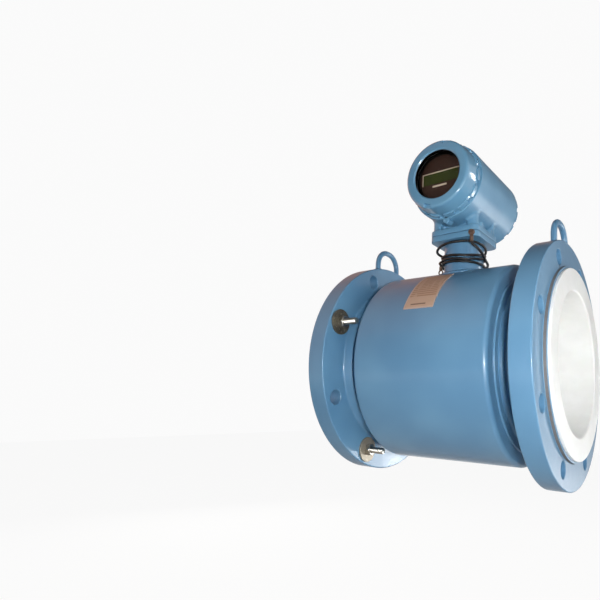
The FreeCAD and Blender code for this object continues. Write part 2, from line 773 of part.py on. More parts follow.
def wire_run(points):
    """Round wire along straight runs joined by the largest tangent arcs they allow."""
    edges = []
    start = points[0]
    for before, here, after in zip(points, points[1:], points[2:]):
        back = before - here
        ahead = after - here
        shorter = wire_bend_share * min(back.Length, ahead.Length)
        back.normalize()
        ahead.normalize()
        half = back.getAngle(ahead) / 2
        radius = shorter * math.tan(half)
        inward = back + ahead
        inward.normalize()
        first = here + back * shorter
        last = here + ahead * shorter
        middle = here + inward * (radius / math.sin(half) - radius)
        edges.append(Part.LineSegment(start, first).toShape())
        edges.append(Part.Arc(first, middle, last).toShape())
        print("wire bend radius", round(radius, 1))
        start = last
    edges.append(Part.LineSegment(start, points[-1]).toShape())
    path = Part.Wire(edges)
    section = Part.Wire(Part.makeCircle(wire_d / 2, points[0], points[1] - points[0]))
    tube = path.makePipeShell([section], True, False)
    print("wire volume", round(tube.Volume, 1), "section times length",
          round(path.Length * math.pi * wire_d ** 2 / 4, 1))
    return tube


save("flow_tube", flow_tube)
save("liner", liner)
save("front_flange", front_flange)
save("rear_flange", rear_flange)
save("front_lifting_eye", front_eye)
save("rear_lifting_eye", rear_eye)
save("flange_bolts", *flange_bolts)
save("flange_washers", *flange_washers)
save("flange_nuts", *flange_nuts)
save("coil_housing", shell)
save("front_end_plate", end_plate())
save("rear_end_plate", mirrored(end_plate()))
save("upper_pole_piece", pole_piece())
save("lower_pole_piece", turned_under(pole_piece()))
save("upper_coil", field_coil())
save("lower_coil", turned_under(field_coil()))
save("flux_return_band", flux_band)
save("near_electrode", near_electrode)
save("far_electrode", far_electrode)
save("electrode_bushes", near_bush, far_bush)
save("electrode_springs", near_spring, far_spring)
save("electrode_nuts", near_nut, far_nut)
save("neck_tube", neck_tube)
save("neck_flange", neck_flange)
save("neck_gasket", gasket)
save("lead_seal", lead_seal)
save("sensor_leads", *sensor_leads)
save("sensor_tag", sensor_tag)
save("transmitter_housing", housing())
save("base_screws", *base_screws)
save("cover_lock_screws", *lock_screws)
save("conduit_plug", conduit_plug)
save("transmitter_label", label)
save("display_cover", display_cover)
save("display_glass", window_glass)
save("glass_retainer", retainer)
save("display_cover_seal", display_cover_seal)
save("terminal_cover", terminal_cover)
save("terminal_cover_seal", terminal_cover_seal)
save("electronics_module", electronics)
save("display_module", display_module)
save("display_panel", display_panel)
save("terminal_block", terminal_block)
save("terminal_screws", *terminal_screws)
save("earth_screw", earth_screw)
save("earth_lug", earth_lug)
save("earth_wire_winding", wire_winding)
save("earth_wire_run", wire_run(wire_route))
save("earth_wire_end_lug", end_lug)
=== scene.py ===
import json
import math

import bmesh
import bpy
import numpy as np
from mathutils import Matrix


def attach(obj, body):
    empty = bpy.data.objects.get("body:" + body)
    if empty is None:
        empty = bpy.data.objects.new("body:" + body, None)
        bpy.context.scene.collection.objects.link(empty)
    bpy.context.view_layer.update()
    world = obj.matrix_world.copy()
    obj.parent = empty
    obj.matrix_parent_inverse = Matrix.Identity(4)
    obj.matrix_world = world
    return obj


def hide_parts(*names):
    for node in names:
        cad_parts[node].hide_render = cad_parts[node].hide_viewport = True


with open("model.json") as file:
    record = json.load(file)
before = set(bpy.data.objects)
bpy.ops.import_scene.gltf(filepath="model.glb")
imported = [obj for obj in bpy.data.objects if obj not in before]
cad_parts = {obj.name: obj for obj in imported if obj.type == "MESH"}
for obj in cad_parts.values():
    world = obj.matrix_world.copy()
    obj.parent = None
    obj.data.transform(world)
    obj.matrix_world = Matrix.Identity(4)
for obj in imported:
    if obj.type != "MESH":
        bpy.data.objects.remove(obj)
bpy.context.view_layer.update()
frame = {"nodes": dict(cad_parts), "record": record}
scene = bpy.context.scene
scene.view_settings.view_transform = "Standard"
mm = 0.001
fullTurn = 2 * math.pi
quarterTurn = math.pi / 2
headAxis = 282.7  # height of the transmitter's axis in mm
headCentre = (0.0, 0.0, headAxis)
print("frame loaded:", len(frame["nodes"]), "nodes")

# camera: angles in degrees, lengths in mm, focal length and centre in pixels of the 600 px frame
photoView = dict(azimuth=34.19, elevation=-9.12, roll=1.98, distance=611.1, focal=472.5,
                 centre=(400.0, 327.0), target=(-1.3, -178.8, 34.5), pixels=600.0, nearest=10.0)


def standing(side, top, back, place):  # matrix that lays X, Y and Z on three directions at a place
    return Matrix([*np.stack([side, top, back, place], 1).tolist(), [0.0, 0.0, 0.0, 1.0]])


def makeCamera(v):
    a, e, r = (math.radians(v[k]) for k in ("azimuth", "elevation", "roll"))
    back = np.array([math.sin(a) * math.cos(e), -math.cos(a) * math.cos(e), math.sin(e)])
    right = np.array([math.cos(a), math.sin(a), 0.0])
    up = np.cross(back, right)
    side = math.cos(r) * right + math.sin(r) * up
    top = math.cos(r) * up - math.sin(r) * right
    place = (np.array(v["target"]) + back * v["distance"]) * mm
    lens = bpy.data.cameras.new("photoCamera")
    lens.lens = v["focal"] / v["pixels"] * lens.sensor_width
    lens.shift_x = 0.5 - v["centre"][0] / v["pixels"]
    lens.shift_y = v["centre"][1] / v["pixels"] - 0.5
    lens.clip_start = v["nearest"] * mm
    camera = bpy.data.objects.new("photoCamera", lens)
    scene.collection.objects.link(camera)
    camera.matrix_world = standing(side, top, back, place)
    scene.camera = camera


makeCamera(photoView)
print("camera placed")


# shader maths
class Tone:  # a socket; + - * / % < and abs on it add Math nodes, and of() adds any other one
    def __init__(self, socket):
        self.socket = socket

    def join(self, how, first, second=0.0):
        tree = self.socket.id_data
        node = tree.nodes.new("ShaderNodeMath")
        node.operation = how
        for slot, value in zip(node.inputs, (first, second)):
            if isinstance(value, Tone):
                tree.links.new(value.socket, slot)
            else:
                slot.default_value = value
        return Tone(node.outputs[0])

    def of(self, how, other=0.0):
        return self.join(how, self, other)

    def __add__(self, other):
        return self.of("ADD", other)

    def __sub__(self, other):
        return self.of("SUBTRACT", other)

    def __rsub__(self, other):
        return self.join("SUBTRACT", other, self)

    def __mul__(self, other):
        return self.of("MULTIPLY", other)

    def __truediv__(self, other):
        return self.of("DIVIDE", other)

    def __rtruediv__(self, other):
        return self.join("DIVIDE", other, self)

    def __mod__(self, other):
        return self.of("FLOORED_MODULO", other)

    def __lt__(self, other):
        return self.of("LESS_THAN", other)

    def __abs__(self):
        return self.of("ABSOLUTE")

    __radd__ = __add__
    __rmul__ = __mul__


class Finish:  # one material and its nodes
    def __init__(self, name):
        self.material = bpy.data.materials.new(name)
        self.material.use_nodes = True
        self.tree = self.material.node_tree
        self.tree.nodes.clear()
        self.spot = self.tone("ShaderNodeTexCoord", output="Object")

    def node(self, kind, settings=None, inputs=None):
        made = self.tree.nodes.new(kind)
        for key, value in (settings or {}).items():
            if key == "stops":
                while len(made.color_ramp.elements) < len(value):
                    made.color_ramp.elements.new(0.5)
                for element, (place, colour) in zip(made.color_ramp.elements, value):
                    element.position, element.color = place, colour
            else:
                setattr(made, key, value)
        for key, value in (inputs or {}).items():
            if isinstance(value, Tone):
                self.tree.links.new(value.socket, made.inputs[key])
            else:
                made.inputs[key].default_value = value
        return made

    def tone(self, kind, settings=None, inputs=None, output=0):  # a node of which one output is used
        return Tone(self.node(kind, settings, inputs).outputs[output])

    def axes(self):
        split = self.node("ShaderNodeSeparateXYZ", None, {0: self.spot})
        return [Tone(split.outputs[k]) for k in range(3)]

    def noise(self, scale, detail=3.0, rough=0.5, stretch=None):
        spot = self.spot
        if stretch:
            spot = self.tone("ShaderNodeMapping", None, {"Vector": spot, "Scale": stretch})
        return self.tone("ShaderNodeTexNoise", None,
                         {"Vector": spot, "Scale": scale, "Detail": detail, "Roughness": rough})

    def ramp(self, tone, *stops):
        return self.tone("ShaderNodeValToRGB", {"stops": stops}, {0: tone})

    def step(self, tone, low, high):  # 0 below low, 1 above high, smooth between
        return self.tone("ShaderNodeMapRange", {"interpolation_type": "SMOOTHSTEP"},
                         {"Value": tone, "From Min": low, "From Max": high})

    def below(self, tone, low, high):  # the other way round: 1 below low, 0 above high
        return 1 - self.step(tone, low, high)

    def band(self, tone, start, full, last, end):  # rises from start to full, falls from last to end
        return self.step(tone, start, full) * self.below(tone, last, end)

    def mix(self, share, first, second):
        return self.tone("ShaderNodeMix", {"data_type": "RGBA"}, {0: share, 6: first, 7: second}, 2)

    def bump(self, height, depth, strength):
        return self.tone("ShaderNodeBump", None,
                         {"Height": height, "Distance": depth, "Strength": strength})

    def output(self, surface):
        self.node("ShaderNodeOutputMaterial", None, {"Surface": surface})
        return self.material

    def shade(self, **sockets):  # coatWeight=0.2 sets or links the shader's Coat Weight, and so on
        inputs = {}
        for key, value in sockets.items():
            words = "".join(" " + c if c.isupper() else c for c in key).title()
            inputs[words.replace("Ior", "IOR")] = value
        return self.output(self.tone("ShaderNodeBsdfPrincipled", None, inputs))


def tint(red, green, blue):  # 0-255 screen values to the linear colour of a socket
    c = np.array([red, green, blue]) / 255.0
    linear = np.where(c <= 0.04045, c / 12.92, ((c + 0.055) / 1.055) ** 2.4)
    return (*linear.tolist(), 1.0)


def radial(first, second):  # distance from an axis, from the two coordinates across it
    return (first * first + second * second).of("SQRT")


# paints: slow patches between two blues, and dust that dulls the gloss a little
steelPaint = dict(blues=(tint(91, 138, 174), tint(104, 151, 185)), patch=9.0, dust=85.0)
castPaint = dict(blues=(tint(95, 146, 180), tint(109, 159, 191)), patch=14.0, dust=95.0)
# the raised face's side, in metres: its reach along X and from the axis
raisedSide = dict(along=(0.1696, 0.1702, 0.1736, 0.1739), reach=(0.1330, 0.1334),
                  browns=(tint(96, 88, 82), tint(132, 122, 112)))
# inside of a cover, in metres: radii of the cavity and of the window, whose walls get black painted shade
coverInside = dict(cavity=(0.0467, 0.0470), window=(0.0383, 0.0387), black=tint(22, 20, 20),
                   metals=(tint(150, 152, 152), tint(186, 188, 188)))


def paintOf(f, p):
    patch = f.noise(p["patch"], 2.0)
    return f.mix(f.step(patch, 0.3, 0.7), *p["blues"]), f.noise(p["dust"], 5.0, 0.68)


def blueEnamel(name, p, bareSide=None):  # fine orange peel; a flange's bare side stays brown
    f = Finish(name)
    colour, dust = paintOf(f, p)
    rough = 0.24 + dust * 0.16
    coat = 0.18 + dust * 0.2
    if bareSide:
        x, y, z = f.axes()
        bare = f.band(abs(x), *bareSide["along"]) * f.step(radial(y, z), *bareSide["reach"])
        rust = f.mix(f.noise(160.0, 4.0, 0.6), *bareSide["browns"])
        colour = f.mix(bare * 0.9, colour, rust)
        rough = rough + bare * 0.25
        coat = coat * (1 - bare)
    peel = f.noise(520.0, 2.0, 0.45)
    return f.shade(baseColor=colour, roughness=rough, coatWeight=coat, coatRoughness=0.08,
                   normal=f.bump(peel, 0.00016, 0.5))


def castEnamel(name, p):  # thicker coat over a sand casting: coarse pebbling under the peel
    f = Finish(name)
    blue, dust = paintOf(f, p)
    sand = f.noise(260.0, 3.0, 0.6)
    peel = f.noise(900.0, 2.0, 0.45)
    blue = f.mix(f.step(sand, 0.62, 0.8) * 0.18, blue, tint(150, 184, 205))
    return f.shade(baseColor=blue, roughness=0.29 + dust * 0.16, coatWeight=0.1 + dust * 0.2,
                   coatRoughness=0.22, normal=f.bump(sand * 0.7 + peel * 0.3, 0.00035, 0.55))


def coverEnamel(name, p, s, out, lip, roof, glazed):
    # the thread behind the lip stays bare metal; the cavity below the roof and the window's wall are
    # painted black as shade
    f = Finish(name)
    x, y, z = f.axes()
    reach = radial(x, z - headAxis * mm)
    ahead = y * out
    inner = f.below(reach, *s["cavity"])
    # painted shade: the cavity below the roof and the window's wall turn black
    paintedShade = (inner * (ahead < roof)).of("MAXIMUM", f.below(reach, *s["window"]) * glazed)
    bare = (1 - inner) * (ahead < lip)
    blue, dust = paintOf(f, p)
    sand = f.noise(300.0, 3.0, 0.6)
    colour = f.mix(bare, f.mix(paintedShade, blue, s["black"]), f.mix(dust, *s["metals"]))
    return f.shade(baseColor=colour, roughness=0.12 + dust * 0.1 + paintedShade * 0.3 + bare * 0.2,
                   metallic=bare * 0.9, coatWeight=(0.35 + dust * 0.3) * (1 - paintedShade) * (1 - bare),
                   coatRoughness=0.06, normal=f.bump(sand, 0.00012, 0.4))


def linerPlastic(name):  # white lining: faint clouds, and turning marks on the flares' faces
    f = Finish(name)
    _, y, z = f.axes()
    reach = radial(y, z)
    marks = (reach * 5200.0 + f.noise(30.0) * 2.0).of("SINE")
    face = f.step(reach, 0.1035, 0.105)
    cloud = f.noise(24.0, 4.0, 0.6)
    white = f.mix(f.step(cloud, 0.35, 0.75), tint(243, 243, 241), tint(251, 251, 250))
    return f.shade(baseColor=white, roughness=0.32 + cloud * 0.18,
                   normal=f.bump(marks * face * 0.5 + cloud, 0.00012, 0.5), subsurfaceWeight=0.05)


# drawn or turned metal: fine streaks and cloudy plating
def platedSteel(name, dull, bright, gloss, streak, metal=1.0):
    f = Finish(name)
    cloud = f.noise(140.0, 4.0, 0.6)
    lines = f.noise(900.0, 2.0, 0.5, streak)
    plating = f.mix(cloud, dull, bright)
    return f.shade(baseColor=plating, metallic=metal, roughness=gloss + cloud * 0.15 + lines * 0.08,
                   normal=f.bump(lines, 0.00006, 0.6))


# yellow passivated zinc: olive and brown clouds, rubbed pale in places; the low washers are made paler as
# painted light
def chromatedWasher(name):
    f = Finish(name)
    height = f.axes()[2]
    # painted light: below this height the washers turn paler, mixed in with the real pale rubs
    low = f.below(height, -0.06, -0.04)
    cloud = f.noise(75.0, 4.0, 0.65)
    rub = f.step(f.noise(210.0, 3.0, 0.6), 0.55, 0.72)
    zincTone = f.ramp(cloud, (0.3, tint(72, 69, 60)), (0.5, tint(98, 94, 82)), (0.72, tint(130, 121, 102)))
    zincTone = f.mix(rub * 0.35 + low * 0.5, zincTone, tint(196, 186, 168))
    return f.shade(baseColor=zincTone, metallic=0.45 + rub * 0.2, roughness=0.3 + cloud * 0.2,
                   normal=f.bump(cloud + rub * 0.4, 0.00015, 0.5))


def mouldedPlastic(name, colour, pale, gloss, grain):  # fine moulded grain with a slightly paler bloom
    f = Finish(name)
    bloom = f.noise(45.0, 4.0, 0.6)
    pits = f.noise(grain, 2.0, 0.5)
    return f.shade(baseColor=f.mix(f.step(bloom, 0.4, 0.8), colour, pale), roughness=gloss + bloom * 0.15,
                   normal=f.bump(pits, 0.00012, 0.5))


def wireJacket(name):  # black vinyl: soft gloss, handling marks
    f = Finish(name)
    rub = f.noise(160.0, 4.0, 0.65)
    pull = f.noise(1400.0, 2.0, 0.5)
    return f.shade(baseColor=f.mix(f.step(rub, 0.45, 0.8), tint(20, 19, 20), tint(46, 42, 41)),
                   roughness=0.34 + rub * 0.18, normal=f.bump(pull, 0.00006, 0.5))


def windowGlass(name):  # clear pane with the faintest smears
    f = Finish(name)
    smear = f.noise(40.0, 3.0, 0.6)
    return f.shade(baseColor=tint(250, 252, 251), roughness=smear * 0.03, transmissionWeight=1.0, ior=1.06)


def displayFace(name):  # dark brown display board, turned black towards its rim as painted shade, a little grain
    f = Finish(name)
    x, _, z = f.axes()
    # painted shade: the board turns black towards its rim, under the window's edge
    rim = f.step(radial(x, z - headAxis * mm), 0.0352, 0.0368)
    grain = f.noise(700.0, 2.0, 0.5)
    shade = f.noise(35.0, 3.0, 0.5)
    brown = f.mix(rim, f.mix(shade, tint(46, 27, 20), tint(56, 34, 26)), tint(16, 14, 14))
    return f.shade(baseColor=brown, roughness=0.45 + shade * 0.15, specularIorLevel=0.12,
                   normal=f.bump(grain, 0.00008, 0.5))


cellSizes = dict(wide=3.4, high=7.4)  # one cell of the panel in mm


def liquidCrystal(name, s):  # unlit panel: dark green, fine cell grid in two lines
    f = Finish(name)
    x, _, z = f.axes()
    column = f.step(abs(x / mm / s["wide"] % 1.0 - 0.5), 0.42, 0.47)
    row = f.step(abs((z - headAxis * mm) / mm / s["high"] % 1.0 - 0.5), 0.40, 0.45)
    cells = (1 - column) * row
    green = f.mix(f.noise(22.0, 2.0), tint(38, 43, 4), tint(47, 53, 8))
    green = f.mix(cells * 0.14, green, tint(26, 32, 10))
    return f.shade(baseColor=green, roughness=0.35, specularIorLevel=0.12,
                   normal=f.bump(cells, 0.00005, 0.3))


# the tag's face in mm: its radius, its upper edge round the shell, its middle along X, and what it shows
tagPrint = dict(radius=147.6, start=71.9, middle=-5.5, ruled=(3.0, 3.4, 65.0, 65.5), ruledHalf=(21.4, 21.8),
                ruleGap=4.9, bar=(79.2, 79.6, 81.6, 82.0), barMiddle=-2.0, barHalf=(12.0, 12.4),
                halfArc=44.0, rimEnds=(41.8, 42.2), rimSides=(22.6, 23.0))


# tan plate bent round the shell: ruled empty lines above, a pale band with one bar below
def tagPlate(name, s):
    f = Finish(name)
    x, y, z = f.axes()
    down = (y * -1.0).of("ARCTAN2", z) * s["radius"] - s["start"]
    across = x / mm - s["middle"]
    upper = f.band(down, *s["ruled"]) * f.below(abs(across), *s["ruledHalf"])
    gaps = f.noise(1.0, 0.0, 0.5, (180.0, 40.0, 40.0))
    rule = f.step(abs(down / s["ruleGap"] % 1.0 - 0.5), 0.24, 0.31) * f.step(gaps, 0.36, 0.42)
    bar = f.band(down, *s["bar"]) * f.below(abs(across - s["barMiddle"]), *s["barHalf"])
    ends = f.step(abs(down - s["halfArc"]), *s["rimEnds"])
    edge = f.step(abs(across), *s["rimSides"]).of("MAXIMUM", ends)
    worn = f.noise(60.0, 4.0, 0.65)
    plate = f.mix(worn, tint(194, 162, 140), tint(210, 180, 158))
    plate = f.mix(upper * (0.15 + rule * 0.45), plate, tint(150, 104, 74))
    plate = f.mix(bar * 0.75, plate, tint(92, 74, 66))
    plate = f.mix(edge * 0.6, plate, tint(212, 194, 186))
    return f.shade(baseColor=plate, roughness=0.38 + worn * 0.2, metallic=0.1 + edge * 0.15,
                   normal=f.bump(upper * rule * -0.5 + worn * 0.3, 0.00008, 0.5))


# the label's border and fields, in mm from its middle
labelPrint = dict(middle=10.0, sides=(17.2, 17.4, 17.9, 18.1), ends=(64.7, 64.9, 65.4, 65.6), fieldGap=21.0,
                  fieldHalf=(15.4, 15.6))


def labelPlate(name, s):  # plate on the housing's top: bare, with a printed border and empty fields
    f = Finish(name)
    x, y, _ = f.axes()
    across = abs(x / mm)
    along = y / mm - s["middle"]
    sides = f.band(across, *s["sides"]) * f.below(abs(along), *s["ends"][2:])
    ends = f.band(abs(along), *s["ends"]) * f.below(across, *s["sides"][2:])
    field = f.step(abs(along / s["fieldGap"] % 1.0 - 0.5), 0.40, 0.41) * f.below(across, *s["fieldHalf"])
    worn = f.noise(55.0, 4.0, 0.65)
    plate = f.mix(worn, tint(150, 118, 90), tint(172, 140, 110))
    plate = f.mix(sides.of("MAXIMUM", ends) * 0.7, plate, tint(84, 78, 74))
    plate = f.mix(field * 0.4, plate, tint(112, 84, 62))
    return f.shade(baseColor=plate, roughness=0.36 + worn * 0.2, metallic=0.15,
                   normal=f.bump(worn, 0.00006, 0.5))


def woundCopper(name):  # enamelled turns side by side
    f = Finish(name)
    turns = (f.axes()[2] * 5200.0).of("SINE")
    coppery = f.mix(f.noise(120.0), tint(150, 84, 48), tint(184, 112, 66))
    return f.shade(baseColor=coppery, metallic=0.8, roughness=0.34 + f.noise(200.0) * 0.1,
                   normal=f.bump(turns, 0.0002, 0.6))


enamel = blueEnamel("blueEnamel", steelPaint)
flangePaint = blueEnamel("flangeEnamel", steelPaint, raisedSide)
casting = castEnamel("castEnamel", castPaint)
displayPaint = coverEnamel("displayCoverEnamel", castPaint, coverInside, out=-1.0, lip=0.0643, roof=0.0945,
                           glazed=1.0)
terminalPaint = coverEnamel("terminalCoverEnamel", castPaint, coverInside, out=1.0, lip=0.0843, roof=0.0924,
                            glazed=0.0)
linerWhite = linerPlastic("linerPlastic")
zinc = platedSteel("zincSteel", tint(176, 174, 164), tint(214, 212, 204), 0.2, (1.0, 0.2, 0.2))
stainless = platedSteel("stainlessSteel", tint(168, 168, 168), tint(200, 200, 200), 0.25, (0.2, 1.0, 1.0))
magnetSteel = platedSteel("magnetSteel", tint(92, 92, 95), tint(120, 120, 122), 0.45, (1.0, 1.0, 0.2))
bronze = platedSteel("earthBronze", tint(92, 72, 60), tint(134, 110, 94), 0.34, (1.0, 0.3, 1.0), 0.45)
olive = chromatedWasher("chromatedWasher")
gasketPainted = mouldedPlastic("gasketPainted", tint(72, 112, 142), tint(88, 130, 160), 0.5, 700.0)
gasketBlack = mouldedPlastic("gasketBlack", tint(24, 24, 25), tint(40, 39, 38), 0.6, 700.0)
plugBlack = mouldedPlastic("plugBlack", tint(26, 26, 28), tint(44, 44, 46), 0.42, 900.0)
moduleGrey = mouldedPlastic("modulePlastic", tint(52, 54, 58), tint(66, 68, 72), 0.45, 800.0)
insulator = mouldedPlastic("insulator", tint(206, 200, 180), tint(220, 214, 198), 0.45, 700.0)
# pale strip colour, also used for the painted highlight bars beside the panel
paleStripAndHighlight = mouldedPlastic("paleStripAndHighlight", tint(190, 168, 146), tint(206, 186, 166), 0.4, 900.0)
sleeve = mouldedPlastic("leadSleeve", tint(150, 40, 36), tint(168, 60, 52), 0.5, 900.0)
jacket = wireJacket("wireJacket")
glass = windowGlass("windowGlass")
faceBrown = displayFace("displayFace")
lcdGreen = liquidCrystal("liquidCrystal", cellSizes)
tagTan = tagPlate("tagPlate", tagPrint)
labelTan = labelPlate("labelPlate", labelPrint)
copper = woundCopper("woundCopper")
bySlot = dict(blue_paint=enamel, liner_white=linerWhite, zinc_steel=zinc, washer_dark=olive,
              stainless=stainless, magnet_steel=magnetSteel, copper_winding=copper, insulator=insulator,
              gasket_black=gasketBlack, tag_plate=labelTan, window_glass=glass, display_dark=faceBrown,
              display_green=lcdGreen, module_plastic=moduleGrey, plug_black=plugBlack, wire_black=jacket,
              lead_sleeve=sleeve, earth_bronze=bronze)
for part in frame["record"]["subparts"]:
    held = frame["nodes"][part["node"]].data.materials
    held.clear()
    held.append(bySlot[part["material_slot"]])
for name in ("base_screws", "transmitter_housing"):
    frame["nodes"][name].data.materials[0] = casting
print("finishes made:", len(bpy.data.materials))

# earth wire: from the lug on the neck flange down its run, then loose turns round the neck to the end lug
earthWire = dict(diameter=4.2, length=1.11,
                 run=[(34.0, -43.0, 187.2), (34.4, -42.8, 183.0), (40.2, -39.2, 179.0),
                      (43.6, -33.6, 173.4), (44.8, -25.0, 168.8), (43.2, -15.6, 166.2)],
                 pointsPerTurn=15, firstAngle=-8.0, lastAngle=1640.0,
                 angles=(-10, 20, 60, 120, 180, 214, 250, 304, 350, 394, 430, 480, 540, 574, 610, 664, 710,
                         754, 800, 870, 934, 975, 1024, 1070, 1114, 1160, 1230, 1294, 1330, 1384, 1430,
                         1474, 1520, 1580, 1640),
                 radii=(41.6, 39.2, 38.8, 38.8, 37.6, 34.7, 34.6, 34.6, 34.6, 34.6, 34.6, 34.6, 34.8, 36.2,
                        38.2, 38.9, 37.4, 35.0, 34.6, 34.6, 36.8, 36.2, 34.8, 34.8, 35.0, 34.8, 35.8, 46.5,
                        43.6, 36.2, 35.6, 36.2, 38.8, 40.4, 41.0),
                 heights=(164.6, 162.8, 161.2, 160.4, 161.6, 165.0, 163.4, 161.0, 159.4, 158.2, 158.8,
                          162.5, 167.5, 170.4, 167.4, 163.4, 168.0, 173.0, 174.8, 175.6, 176.0, 173.0,
                          170.6, 174.4, 179.4, 181.8, 183.0, 186.0, 191.0, 194.2, 192.4, 186.6, 181.0,
                          177.0, 174.2),
                 landing=[(-39.6, -7.5, 172.6), (-37.4, -14.6, 168.6), (-33.2, -20.2, 165.2),
                          (-31.0, -21.5, 162.6), (-31.0, -21.5, 160.0)])


def makeEarthWire(w):
    # turns: angle rises evenly, radius and height follow their stations along it
    angle = np.arange(w["firstAngle"], w["lastAngle"], 360.0 / w["pointsPerTurn"])
    radius = np.interp(angle, w["angles"], w["radii"])
    height = np.interp(angle, w["angles"], w["heights"])
    turn = np.radians(angle)
    coil = np.stack([radius * np.cos(turn), radius * np.sin(turn), height], 1)
    points = np.concatenate([np.array(w["run"]), coil, np.array(w["landing"])]) * mm
    line = bpy.data.curves.new("earthWire", "CURVE")
    line.dimensions = "3D"
    line.bevel_depth = w["diameter"] / 2 * mm
    line.bevel_resolution = 5
    line.use_fill_caps = True
    spline = line.splines.new("NURBS")
    spline.points.add(len(points) - 1)
    spline.points.foreach_set("co", np.c_[points, np.ones(len(points))].ravel())
    spline.order_u = 3
    spline.use_endpoint_u = True
    spline.resolution_u = 8
    wire = bpy.data.objects.new("earthWire", line)
    scene.collection.objects.link(wire)
    line.materials.append(jacket)
    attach(wire, "meter")
    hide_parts("earth_wire_winding", "earth_wire_run")


makeEarthWire(earthWire)
print("earth wire wound")


# surfaces: every sheet is a grid of points in mm with two flags, whether its rows and its columns close
def quadIndex(rows, cols, wrapRows, wrapCols):  # the four corner numbers of every cell of a grid
    i = np.arange(rows if wrapRows else rows - 1)[:, None]
    j = np.arange(cols if wrapCols else cols - 1)[None, :]
    k, n = (i + 1) % rows, (j + 1) % cols
    return np.stack([i * cols + j, i * cols + n, k * cols + n, k * cols + j], -1).reshape(-1, 4)


def meshFrom(name, sheets):  # sheets put into one mesh, in metres
    corners, faces, first = [], [], 0
    for grid, wrapRows, wrapCols in sheets:
        faces.append(quadIndex(*grid.shape[:2], wrapRows, wrapCols) + first)
        corners.append(grid.reshape(-1, 3))
        first += len(corners[-1])
    corners, faces = np.concatenate(corners) * mm, np.concatenate(faces).astype(np.int32)
    mesh = bpy.data.meshes.new(name)
    mesh.vertices.add(len(corners))
    mesh.vertices.foreach_set("co", corners.astype(np.float32).ravel())
    mesh.loops.add(faces.size)
    mesh.loops.foreach_set("vertex_index", faces.ravel())
    mesh.polygons.add(len(faces))
    mesh.polygons.foreach_set("loop_start", np.arange(0, faces.size, 4, dtype=np.int32))
    mesh.update(calc_edges=True)
    work = bmesh.new()
    work.from_mesh(mesh)
    bmesh.ops.remove_doubles(work, verts=work.verts, dist=2e-6)  # closes seams and poles
    bmesh.ops.dissolve_degenerate(work, dist=1e-7, edges=work.edges)
    bmesh.ops.recalc_face_normals(work, faces=work.faces)
    work.to_mesh(mesh)
    work.free()
    return mesh


def drill(thing, cutters, solver):  # takes the cutters' shapes out of the piece
    tool = bpy.data.objects.new("tool", meshFrom("tool", cutters))
    scene.collection.objects.link(tool)
    cut = thing.modifiers.new("cut", "BOOLEAN")
    cut.operation, cut.solver, cut.object = "DIFFERENCE", solver, tool
    bpy.context.view_layer.update()
    made = bpy.data.meshes.new_from_object(thing.evaluated_get(bpy.context.evaluated_depsgraph_get()))
    thing.modifiers.clear()
    thing.data = made
    bpy.data.objects.remove(tool, do_unlink=True)


def addPiece(name, sheets, finish, body="meter", stands=(), cutters=(), solver="EXACT",
             sharp=33.0):
    thing = bpy.data.objects.new(name, meshFrom(name, sheets))
    scene.collection.objects.link(thing)
    if cutters:
        drill(thing, cutters, solver)
    thing.data.materials.clear()
    thing.data.materials.append(finish)
    thing.data.polygons.foreach_set("use_smooth", np.ones(len(thing.data.polygons), bool))
    thing.data.set_sharp_from_angle(angle=math.radians(sharp))
    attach(thing, body)
    if stands:
        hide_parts(*stands)


def ringAngles(count):  # even angles over one turn
    return np.linspace(0, fullTurn, count, endpoint=False)


def rounded(corners, steps=6, guard=0.6):
    # each corner (u, v, radius) becomes its tangent arc, with a guard point on the run before and after it
    c = np.array(corners, float)
    here, radius = c[:, :2], c[:, 2]
    back, ahead = np.roll(here, 1, 0) - here, np.roll(here, -1, 0) - here
    room = np.minimum(np.linalg.norm(back, axis=1), np.linalg.norm(ahead, axis=1))
    back = back / np.linalg.norm(back, axis=1, keepdims=True)
    ahead = ahead / np.linalg.norm(ahead, axis=1, keepdims=True)
    half = np.arccos(np.clip((back * ahead).sum(1), -1, 1)) / 2
    reach = radius / np.tan(half)
    middle = back + ahead
    middle = middle / np.maximum(np.linalg.norm(middle, axis=1, keepdims=True), 1e-9)
    centre = here + middle * (radius / np.sin(half))[:, None]
    start, end = here + back * reach[:, None], here + ahead * reach[:, None]
    first, last = start - centre, end - centre
    a = np.arctan2(first[:, 1], first[:, 0])
    sweep = (np.arctan2(last[:, 1], last[:, 0]) - a + math.pi) % fullTurn - math.pi
    angle = a[:, None] + sweep[:, None] * np.linspace(0, 1, steps)
    arc = centre[:, None] + radius[:, None, None] * np.stack([np.cos(angle), np.sin(angle)], -1)
    spare = np.minimum(guard, 0.2 * np.maximum(room - 2 * reach, 0.0))[:, None]
    before, after = (start + back * spare)[:, None], (end + ahead * spare)[:, None]
    return np.concatenate([before, arc, after], 1).reshape(-1, 2)


def rodProfile(low, high, radius, lowEdge=0.0, highEdge=0.0):  # solid rod, from axis to axis
    return rounded([(low, 0.0, 0.0), (low, radius, lowEdge), (high, radius, highEdge), (high, 0.0, 0.0)])


def turned(profile, axis="x", centre=(0.0, 0.0, 0.0), count=256):
    # point (along, radius) of the profile at angle t: along the axis, radius times cos t and sin t across
    along, radius = np.asarray(profile, float).T[:2]
    closed = max(radius[0], radius[-1]) > 1e-9
    if not closed:  # both ends lie on the axis, where the shape closes by itself
        off = np.flatnonzero(radius > 1e-9)
        along, radius = along[off[0] - 1:off[-1] + 2], radius[off[0] - 1:off[-1] + 2]
    t = ringAngles(count)
    a = np.repeat(along[:, None], count, 1)
    p, q = radius[:, None] * np.cos(t), radius[:, None] * np.sin(t)
    grid = np.stack((a, p, q) if axis == "x" else (q, a, p), -1)
    return grid + np.array(centre), closed, True


def drillBit(low, high, radius, centre=(0.0, 0.0, 0.0), count=48):  # plain rod along Y for cutting
    return turned([(low, 0.0), (low, radius), (high, radius), (high, 0.0)], "y", centre, count)


